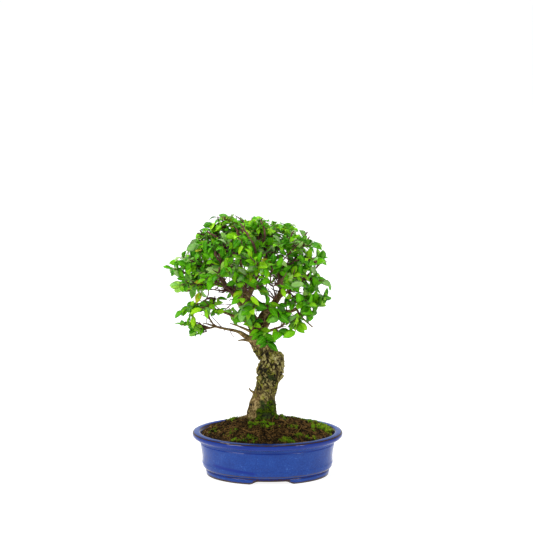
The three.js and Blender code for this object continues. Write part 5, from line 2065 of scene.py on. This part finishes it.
@dataclass
class Crown:
    """The dome of foliage: its sprays and the leaves on them."""

    middle: Row = (-22.0, 7.0, 228.0)
    reach: Row = (84.0, 78.0, 73.0)
    below: float = 40.0
    squareness: float = 3.4
    grows_from: Row = (-19.0, 8.0, 176.0)
    sprays: int = 34
    low: float = 0.22
    turn: float = 0.26
    redrawn: dict[int, int] = field(default_factory=lambda: {0: 50, 4: 50})
    # the least length of a shoot and how much more it may have: on the dome, inside it and aside
    shoot_length: Row = (30.0, 12.0)
    infill_length: Row = (20.0, 8.0)
    side_length: Row = (17.0, 11.0)
    # the height above which sprays are full of side shoots
    full_above: float = 222.0
    side_leaves: int = 4
    infill: int = 36
    low_sprays: tuple[tuple[Row, Row, float, int], ...] = (
        # where the shoot starts, where its tip is, its leaf size and how many side shoots it has
        ((-78, -13, 175), (-100, -15, 183), 0.8, 1), ((-78, -16, 171.5), (-95, -20, 169), 0.85, 1),
        ((-79, -13, 204), (-101, -20, 196), 1, 2), ((-64, -18, 212), (-46, -40, 212), 0.9, 2),
        ((-5, -20, 172), (-1, -42, 167), 1.1, 1), ((12, -22, 177), (23, -42, 173), 1.1, 1),
        ((-14, -22, 206), (-16, -56, 210), 1.1, 2), ((13, -22, 198), (12, -54, 198), 1.1, 1),
        ((42, -18, 184), (38, -38, 176), 1.05, 2), ((50, -17, 203), (58, -38, 201), 1.05, 3),
        ((8, 40, 188), (20, 64, 176), 1, 3), ((-40, 38, 194), (-52, 62, 182), 1, 3),
    )
    # more sprays where the plant is thick with leaves to the front and the right
    more_sprays: tuple[tuple[Row, Row, float, int], ...] = (
        ((38, -12, 205), (62, -24, 218), 1, 3), ((40, -14, 202), (63, -22, 206), 1, 3),
        ((44, -14, 193), (58, -24, 194), 1, 2), ((30, -10, 188), (42, -26, 180), 0.95, 2),
        ((-18, -12, 194), (-26, -30, 190), 0.95, 0), ((-4, -14, 200), (0, -36, 210), 1.0, 1),
        ((-76, -12, 204), (-90, -22, 201), 0.85, 1), ((-62, -12, 192), (-56, -22, 198), 0.6, 0),
        ((-68, -12, 176), (-80, -20, 177), 0.85, 1), ((22, -8, 208), (34, -28, 216), 1.0, 2),
        ((-78, 0, 226), (-100, -8, 214), 1.0, 3), ((-60, 2, 278), (-81, 0, 288), 0.9, 3),
        ((-52, 4, 290), (-42, 2, 302), 0.5, 1), ((-12, -8, 184), (-17, -30, 184), 0.85, 0),
        ((-9, -10, 172), (-7, -32, 174), 1.0, 0), ((-10, -6, 197), (-15, -28, 208), 0.85, 0),
        ((-5, -10, 166), (2, -32, 160), 0.95, 0), ((-20, -8, 200), (-30, -26, 196), 0.75, 0),
        ((-92, -8, 238), (-108, -10, 244), 0.85, 2), ((56, -14, 205), (72, -20, 213), 0.9, 2),
    )
    outline: Outline = field(default_factory=Outline)

    def dome(self, toward: Array) -> Array:
        """The dome's surface in a direction from its middle: a squared-off ellipsoid.

        Args:
            toward: the direction, of length 1.

        Returns:
            The place.
        """
        rise = self.below if toward[2] < 0 else self.reach[2]
        shares = np.abs(toward / np.array([*self.reach[:2], rise]))
        size = np.sum(shares ** self.squareness) ** (-1 / self.squareness)
        return np.array(self.middle) + toward * size

    def plan(self) -> list[Spray]:
        """The sprays, spread evenly over the dome by the golden angle, then the low ones.

        Returns:
            The sprays of the model, in its own order.
        """
        made = []
        for i in range(self.sprays):
            seed = i + 101 + self.redrawn.get(i, 0)
            draw = seeded(seed + 1000)
            height = 1 - ((i + 0.5) / self.sprays) * (1 + self.low)
            across = math.sqrt(1 - height * height)
            turn = self.turn + i * GOLDEN_ANGLE
            tip = self.dome(np.array([across * math.cos(turn), across * math.sin(turn), height]))
            heading = unit(tip - np.array(self.grows_from)) * 0.35
            heading[0] += 0.7 * math.cos(turn) + 0.9 * (next(draw) - 0.5)
            heading[1] += 0.7 * math.sin(turn) + 0.9 * (next(draw) - 0.5)
            heading[2] += 0.3 * (next(draw) - 0.5)
            heading = unit(heading)
            length = self.shoot_length[0] + self.shoot_length[1] * next(draw)
            spray = Spray(tip - heading * length, heading, length, 1.0, seed)
            x, y, z = spray.spot(1.0)
            spray.side_shoots = 5 if z > self.full_above else 1 if x < 10 and y < 15 else 3
            made.append(spray)
        return made + [Spray.between(*row, i) for i, row in enumerate(self.low_sprays, start=301)]

    def infill_plan(self) -> list[Spray]:
        """Smaller sprays inside the dome, which close it where the model's sprays leave it open.

        Returns:
            The sprays.
        """
        made = []
        rng = np.random.default_rng(21)
        middle = np.array(self.middle)
        for i in range(self.infill):
            height = 1 - (i + 0.5) / self.infill * 0.98
            across = math.sqrt(max(0.0, 1 - height * height))
            turn = 1.1 + i * GOLDEN_ANGLE
            toward = np.array([across * math.cos(turn), across * math.sin(turn), height])
            tip = middle + (self.dome(toward) - middle) * (0.62 + 0.22 * rng.random())
            heading = unit(unit(tip - np.array(self.grows_from)) + rng.normal(0, 0.4, 3))
            length = self.infill_length[0] + self.infill_length[1] * rng.random()
            made.append(Spray(tip - heading * length, heading, length, 0.95, 700 + i, 3))
        for i, row in enumerate(self.more_sprays, start=801):
            spray = Spray.between(*row, i)
            spray.aged = 0.7 if row[1][2] > 300 else 0.03
            made.append(spray)
        return made

    def settled(self, twigs: list[Twig]) -> None:
        """Draws in the sprays that would be seen outside the outline, with their twigs.

        Each shoot then ends at the last leaf that stays.

        Args:
            twigs: the twigs, which are changed in place.
        """
        for spray, _, curve in twigs:
            shift = self.outline.shift(spray.spot(1.0) + spray.heading * 6)
            spray.start = spray.start + shift
            curve[2:] += shift
            spray.reach = self.main_leaves(spray)[1]

    def buds(self) -> list[Bud]:
        """Places on the limbs from which a leafy twig may grow.

        Returns:
            The buds, five on each limb that bears leafy twigs.
        """
        made = []
        for limb in LIMBS:
            if limb.bears is None:
                continue
            way = np.array(limb.way, float)[:, :3]
            shares = np.minimum(limb.bears + (1 - limb.bears) * np.arange(5) / 4, 0.99)
            here, ahead, behind = (spline(way, shares + step) for step in (0, 0.01, -0.01))
            made += [Bud(place, way) for place, way in zip(here, unit(ahead - behind))]
        return made

    def grow(self, plan: list[Spray], buds: list[Bud]) -> list[Twig]:
        """The twigs. Each spray's twig leaves the bud that costs least, by distance and by turn.

        Args:
            plan: the sprays. The nearest to a bud is taken first.
            buds: where twigs may leave. Each twig's first joint is added to them.

        Returns:
            The twigs in the order taken.
        """
        twigs = []
        for spray in sorted(plan, key=lambda spray: min(bud.gap(spray) for bud in buds)):
            parent = min(buds, key=lambda bud: bud.cost(spray))
            span = parent.gap(spray)
            curve = np.array([
                parent.place, parent.place + parent.ahead * span * 0.3,
                spray.start - spray.heading * span * 0.4, spray.start,
            ])
            joints = []
            for share in (0.5, 1.0):
                ahead = bezier(curve, np.array([min(share + 1e-4, 1.0), share - 1e-4]))
                place = bezier(curve, np.array([share]))[0]
                parent = Bud(place, unit(ahead[0] - ahead[1]), parent)
                joints.append(parent)
            while parent:
                parent.load += 1
                parent = parent.parent
            buds.append(joints[0])
            twigs.append((spray, joints, curve))
        return twigs

    def main_leaves(self, spray: Spray) -> tuple[list[Leaf], float]:
        """The leaves of the main shoot, in the model's own order, without those that are trimmed.

        Six are drawn. Those that stand out of the crown's outline or in one of its windows go, but
        the three that lie best always stay.

        Args:
            spray: the spray.

        Returns:
            The leaves, and how far along the shoot the last of them is.
        """
        draw = seeded(spray.seed)
        heading = spray.heading
        side = unit(np.cross(heading, [0.0, 0.0, 1.0]))
        leaves = []
        for k in range(1, 7):
            share = k / 6
            last = k == 6
            hand = 1 if k % 2 else -1
            along = heading * (1 if last else 0.5 * (1 + 0.5 * next(draw)))
            along = along + side * hand * (0.1 if last else 0.8)
            along[2] += 0.7 * (next(draw) - 0.85)
            along = unit(along)
            face = np.array([heading[0] * 0.6, heading[1] * 0.6 - 0.45, 0.6])
            face[0] += 0.9 * (next(draw) - 0.5)
            face[1] += 0.9 * (next(draw) - 0.5)
            face = unit(face - along * float(face @ along))
            size = 14 * spray.leaf * (0.75 + 0.3 * math.sin(math.pi * share * 0.8) + 0.2 * next(draw))
            leaves.append((spray.spot(0.985 if last else share), along, face, size))
        room = self.outline.room(np.array([foot + along * size * 0.6 for foot, along, _, size in leaves]))
        stays = np.flatnonzero((room > -1.5) | (room >= np.sort(room)[-3]))
        return [leaves[k] for k in stays], (1 + int(stays[-1])) / 6

    def side_growth(self, spray: Spray) -> tuple[Array, list[Leaf]]:
        """Side shoots of one spray, and the leaves on them that aren't trimmed.

        Args:
            spray: the spray.

        Returns:
            The shoots' lines as shoots x 5 x 3, and the leaves.
        """
        rng = np.random.default_rng(spray.seed)
        outward = unit(spray.spot(1.0) - np.array(self.middle) + np.array([0, 0, 20.0]))
        side = unit(np.cross(spray.heading, [0.0, 0.0, 1.0]))
        up = np.cross(side, spray.heading)
        steps = np.linspace(0, 1, 5)
        zigzag = np.array([0, 0.5, -0.5, 0.5, 0])[:, None]
        lines, leaves = [], []
        for k in range(spray.side_shoots):
            share = (k + 0.35 + 0.4 * rng.random()) / spray.side_shoots
            hand = 1 if k % 2 else -1
            start = spray.spot(share)
            heading = spray.heading * 0.6 + side * hand * (0.65 + 0.4 * rng.random())
            heading = unit(heading + up * rng.normal(-0.05, 0.4) + outward * 0.15)
            length = self.side_length[0] + self.side_length[1] * rng.random()
            length = spray.leaf * length * (1.05 - 0.35 * share)
            own = self.shoot_leaves(spray.leaf, start, heading * length, outward, rng)
            ends = np.array([foot + along * size for foot, along, _, size in own])
            middles = np.array([foot + along * size / 2 for foot, along, _, size in own])
            inside = self.outline.kept(ends) & self.outline.kept(middles)
            stays = np.flatnonzero(inside & (share < spray.reach + 0.1))
            if len(stays):
                leaves += [own[j] for j in stays]
                line = start + heading * (length * steps)[:, None]
                line[:, 2] -= 0.15 * length * steps ** 2
                line += unit(np.cross(heading, outward)) * (zigzag * 0.05 * length)
                lines.append(spline(line, steps * (stays[-1] + 1) / (self.side_leaves + 1)))
        return np.array(lines).reshape(-1, 5, 3), leaves

    def shoot_leaves(
        self, leaf: float, start: Array, way: Array, outward: Array, rng: np.random.Generator,
    ) -> list[Leaf]:
        """The leaves of one side shoot, on alternate sides, with one at its tip.

        Low leaves hang, and high ones are smaller and lie flat to the light.

        Args:
            leaf: the spray's leaf size.
            start: where the shoot starts.
            way: from there to its tip.
            outward: the direction out of the crown.
            rng: draws the leaves.

        Returns:
            The leaves, from the foot of the shoot to its tip.
        """
        length = float(np.linalg.norm(way))
        side = unit(np.cross(way, outward))
        own = []
        for j in range(self.side_leaves + 1):
            last = j == self.side_leaves
            at = (j + 0.7) / (self.side_leaves + 0.7)
            foot = start + way * at - np.array([0, 0, 0.15 * length * at ** 2])
            hand = 1 if j % 2 else -1
            along = way / length * (1 if last else 0.45 + 0.3 * rng.random())
            along = along + side * hand * (0.1 if last else 0.8)
            lift = float(np.interp(foot[2], [200, 285], [-0.35, 0.15]))
            along = unit(along + np.array([0, 0, rng.normal(lift, 0.45)]))
            flat = float(np.interp(foot[2], [235, 280], [0, 1]))
            face = outward * (0.7 - 0.5 * flat) + rng.normal(0, 0.5 - 0.12 * flat, 3)
            face = face + np.array([0, -0.3 + 0.3 * flat, 0.4 + 0.9 * flat])
            face = unit(face - along * float(face @ along))
            swell = 0.6 + 0.25 * math.sin(math.pi * at * 0.85)
            size = 14.5 * leaf * (swell + 0.35 * rng.random())
            size *= float(np.interp(foot[2], [190, 250], [1.05, 0.88]))
            own.append((foot, along, face, size))
        return own

    def leaf_skin(self, spray: Spray) -> Skin:
        """Every leaf of one spray, each with its own tone, now and then signs of age, and on some a
        painted sheen.

        Args:
            spray: the spray.

        Returns:
            The leaves as one skin.
        """
        leaves = self.main_leaves(spray)[0] + self.side_growth(spray)[1]
        foot, along, face, size = (np.array(part, float) for part in zip(*leaves))
        rng = np.random.default_rng(spray.seed + 500)
        count = len(size)
        tone = np.clip(rng.normal(0.37, 0.27, count) + rng.normal(0, 0.08), 0, 1)
        # painted sheen on about a quarter of the leaves, stronger the higher they grow
        high = np.interp(foot[:, 2], [200, 250], [0.4, 1.0])
        film = np.where(rng.random(count) < 0.24, 0.4 + 1.1 * rng.random(count), 0) * high
        age = np.where(rng.random(count) < spray.aged, 0.4 + 0.5 * rng.random(count), 0)
        return outward_faces(Leaves(foot, along, face, size, tone, age, film).skin())

    def make(self, bench: Bench) -> None:
        """Adds the twigs and the leaves of every spray to the scene.

        Args:
            bench: where the pieces are put together.
        """
        buds = self.buds()
        twigs = self.grow(self.plan(), buds)
        inner = self.grow(self.infill_plan(), buds)
        self.settled(twigs + inner)
        side_shoots = [self.side_growth(spray)[0] for spray, *_ in twigs + inner]
        young_wood = YoungWood(self.outline, self.middle)
        wood = young_wood.skin(twigs + inner, np.concatenate(side_shoots))
        bench.piece("twigs", wood, YoungBark().material(), ["trunk"])
        tissue = LeafTissue().material()
        for number, (spray, *_) in enumerate(twigs, start=1):
            node = f"spray_{number:02d}"
            bench.piece(f"leaves_{number:02d}", self.leaf_skin(spray), tissue, [node])
        skin = joined([self.leaf_skin(spray) for spray, *_ in inner])
        bench.piece("inner_leaves", skin, tissue, [])


# The studio

@dataclass
class Studio:
    """A pale floor that runs out of sight, soft boxes, and the camera of the photograph."""

    bench: Bench
    lens: float = 162.53
    sensor: float = 36.0
    back: float = 2712.03
    up: float = 747.33
    pitch: float = 10.456
    shift_x: float = -1 / 533
    shift_y: float = -1.95 / 533
    floor_half: float = 20000.0
    floor_cells: int = 20
    # each soft box's place from the middle of the pot and its size, in metres, and its power in watts
    lamps: tuple[tuple[Lamp, Row, Row, float], ...] = (
        (Lamp.LEFT, (-1.45, -1.4, 1.3), (0.9, 0.3), 28),
        (Lamp.RIGHT, (1.4, -1.4, 1.0), (0.45, 0.3), 14),
        (Lamp.ABOVE, (-0.2, 0.7, 1.7), (0.9, 0.7), 40),
    )
    aim_height: float = 0.17

    def camera(self) -> None:
        """A long lens from a little above, as the plant was photographed."""
        data = bpy.data.cameras.new("camera")
        data.lens = self.lens
        data.sensor_width = self.sensor
        data.shift_x = self.shift_x
        data.shift_y = self.shift_y
        data.clip_end = 3 * self.floor_half / 1000
        made = bpy.data.objects.new("camera", data)
        middle = self.bench.middle
        made.location = (middle.x, middle.y - self.back / 1000, self.up / 1000)
        made.rotation_euler = (math.radians(90 - self.pitch), 0, 0)
        bpy.context.scene.collection.objects.link(made)
        bpy.context.scene.camera = made

    def floor(self) -> None:
        """A wide sheet of white paper that the pot stands on."""
        steps = np.linspace(-self.floor_half, self.floor_half, self.floor_cells + 1)
        x, y = np.meshgrid(steps, steps, indexing="ij")
        places = np.stack([x, y, 0 * x], axis=-1).reshape(-1, 3)
        index = np.arange(x.size).reshape(x.shape)
        quads = np.stack([index[:-1, :-1], index[1:, :-1], index[1:, 1:], index[:-1, 1:]], axis=-1)
        mesh = self.bench.mesh("paper_floor", Skin(places, quads.reshape(-1, 4)), Edge.ROUNDED)
        w = Wiring(bpy.data.materials.new("white_background_paper"))
        where = w.add("TexCoord", output="Object")
        grain = w.add("TexNoise", Vector=where, Scale=900.0, Detail=2.0)
        colour = w.add("ValToRGB", grain, stops=((0.3, "#9e9e9e"), (0.7, "#a2a2a2")))
        mesh.materials.append(w.done(w.add(
            "BsdfPrincipled", Base_Color=colour, Roughness=0.9, Specular_IOR_Level=0.1,
            Emission_Color="#ffffff", Emission_Strength=0.87,
        )))
        made = bpy.data.objects.new("paper_floor", mesh)
        bpy.context.scene.collection.objects.link(made)

    def lamp(self, which: Lamp, place: Row, size: Row, power: float) -> None:
        """A soft box that looks at the middle of the plant.

        Args:
            which: its name.
            place: where it stands from the middle of the pot, in metres.
            size: its width and height, in metres.
            power: its power, in watts.
        """
        data = bpy.data.lights.new(f"soft_box_{which.value}", "AREA")
        data.shape = "RECTANGLE"
        data.size, data.size_y = size
        data.energy = power
        made = bpy.data.objects.new(f"soft_box_{which.value}", data)
        middle = self.bench.middle
        made.location = (middle.x + place[0], middle.y + place[1], place[2])
        target = Vector((middle.x, middle.y, self.aim_height))
        made.rotation_euler = (target - made.location).to_track_quat("-Z", "Y").to_euler()
        bpy.context.scene.collection.objects.link(made)

    def sky(self) -> None:
        """White walls all round: bright at the height of the plant, and dim overhead."""
        w = Wiring(bpy.data.worlds.new("studio"))
        where = w.add("TexCoord", output="Generated")
        rise = w.add("SeparateXYZ", where, output="Z")
        shade = w.add("ValToRGB", rise, stops=((0.05, "#f9fcff"), (0.7, "#818184")))
        bpy.context.scene.world = w.done(w.add("Background", shade))

    def make(self) -> None:
        """Sets up the studio."""
        self.sky()
        bpy.context.scene.view_settings.view_transform = "Standard"
        self.camera()
        self.floor()
        for which, place, size, power in self.lamps:
            self.lamp(which, place, size, power)


def main() -> None:
    """Builds the pot, the soil, the trunk, the crown and the studio, in that order."""
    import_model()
    pot_low, pot_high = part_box("pot")
    bench = Bench((pot_low + pot_high) / 2)
    pot = Pot()
    Studio(bench).make()
    pot.make(bench)
    DrainScreens(pot).make(bench)
    soil = Soil(pot)
    soil.make(bench)
    Trunk().make(bench, soil)
    Crown().make(bench)


if __name__ == "__main__":
    main()
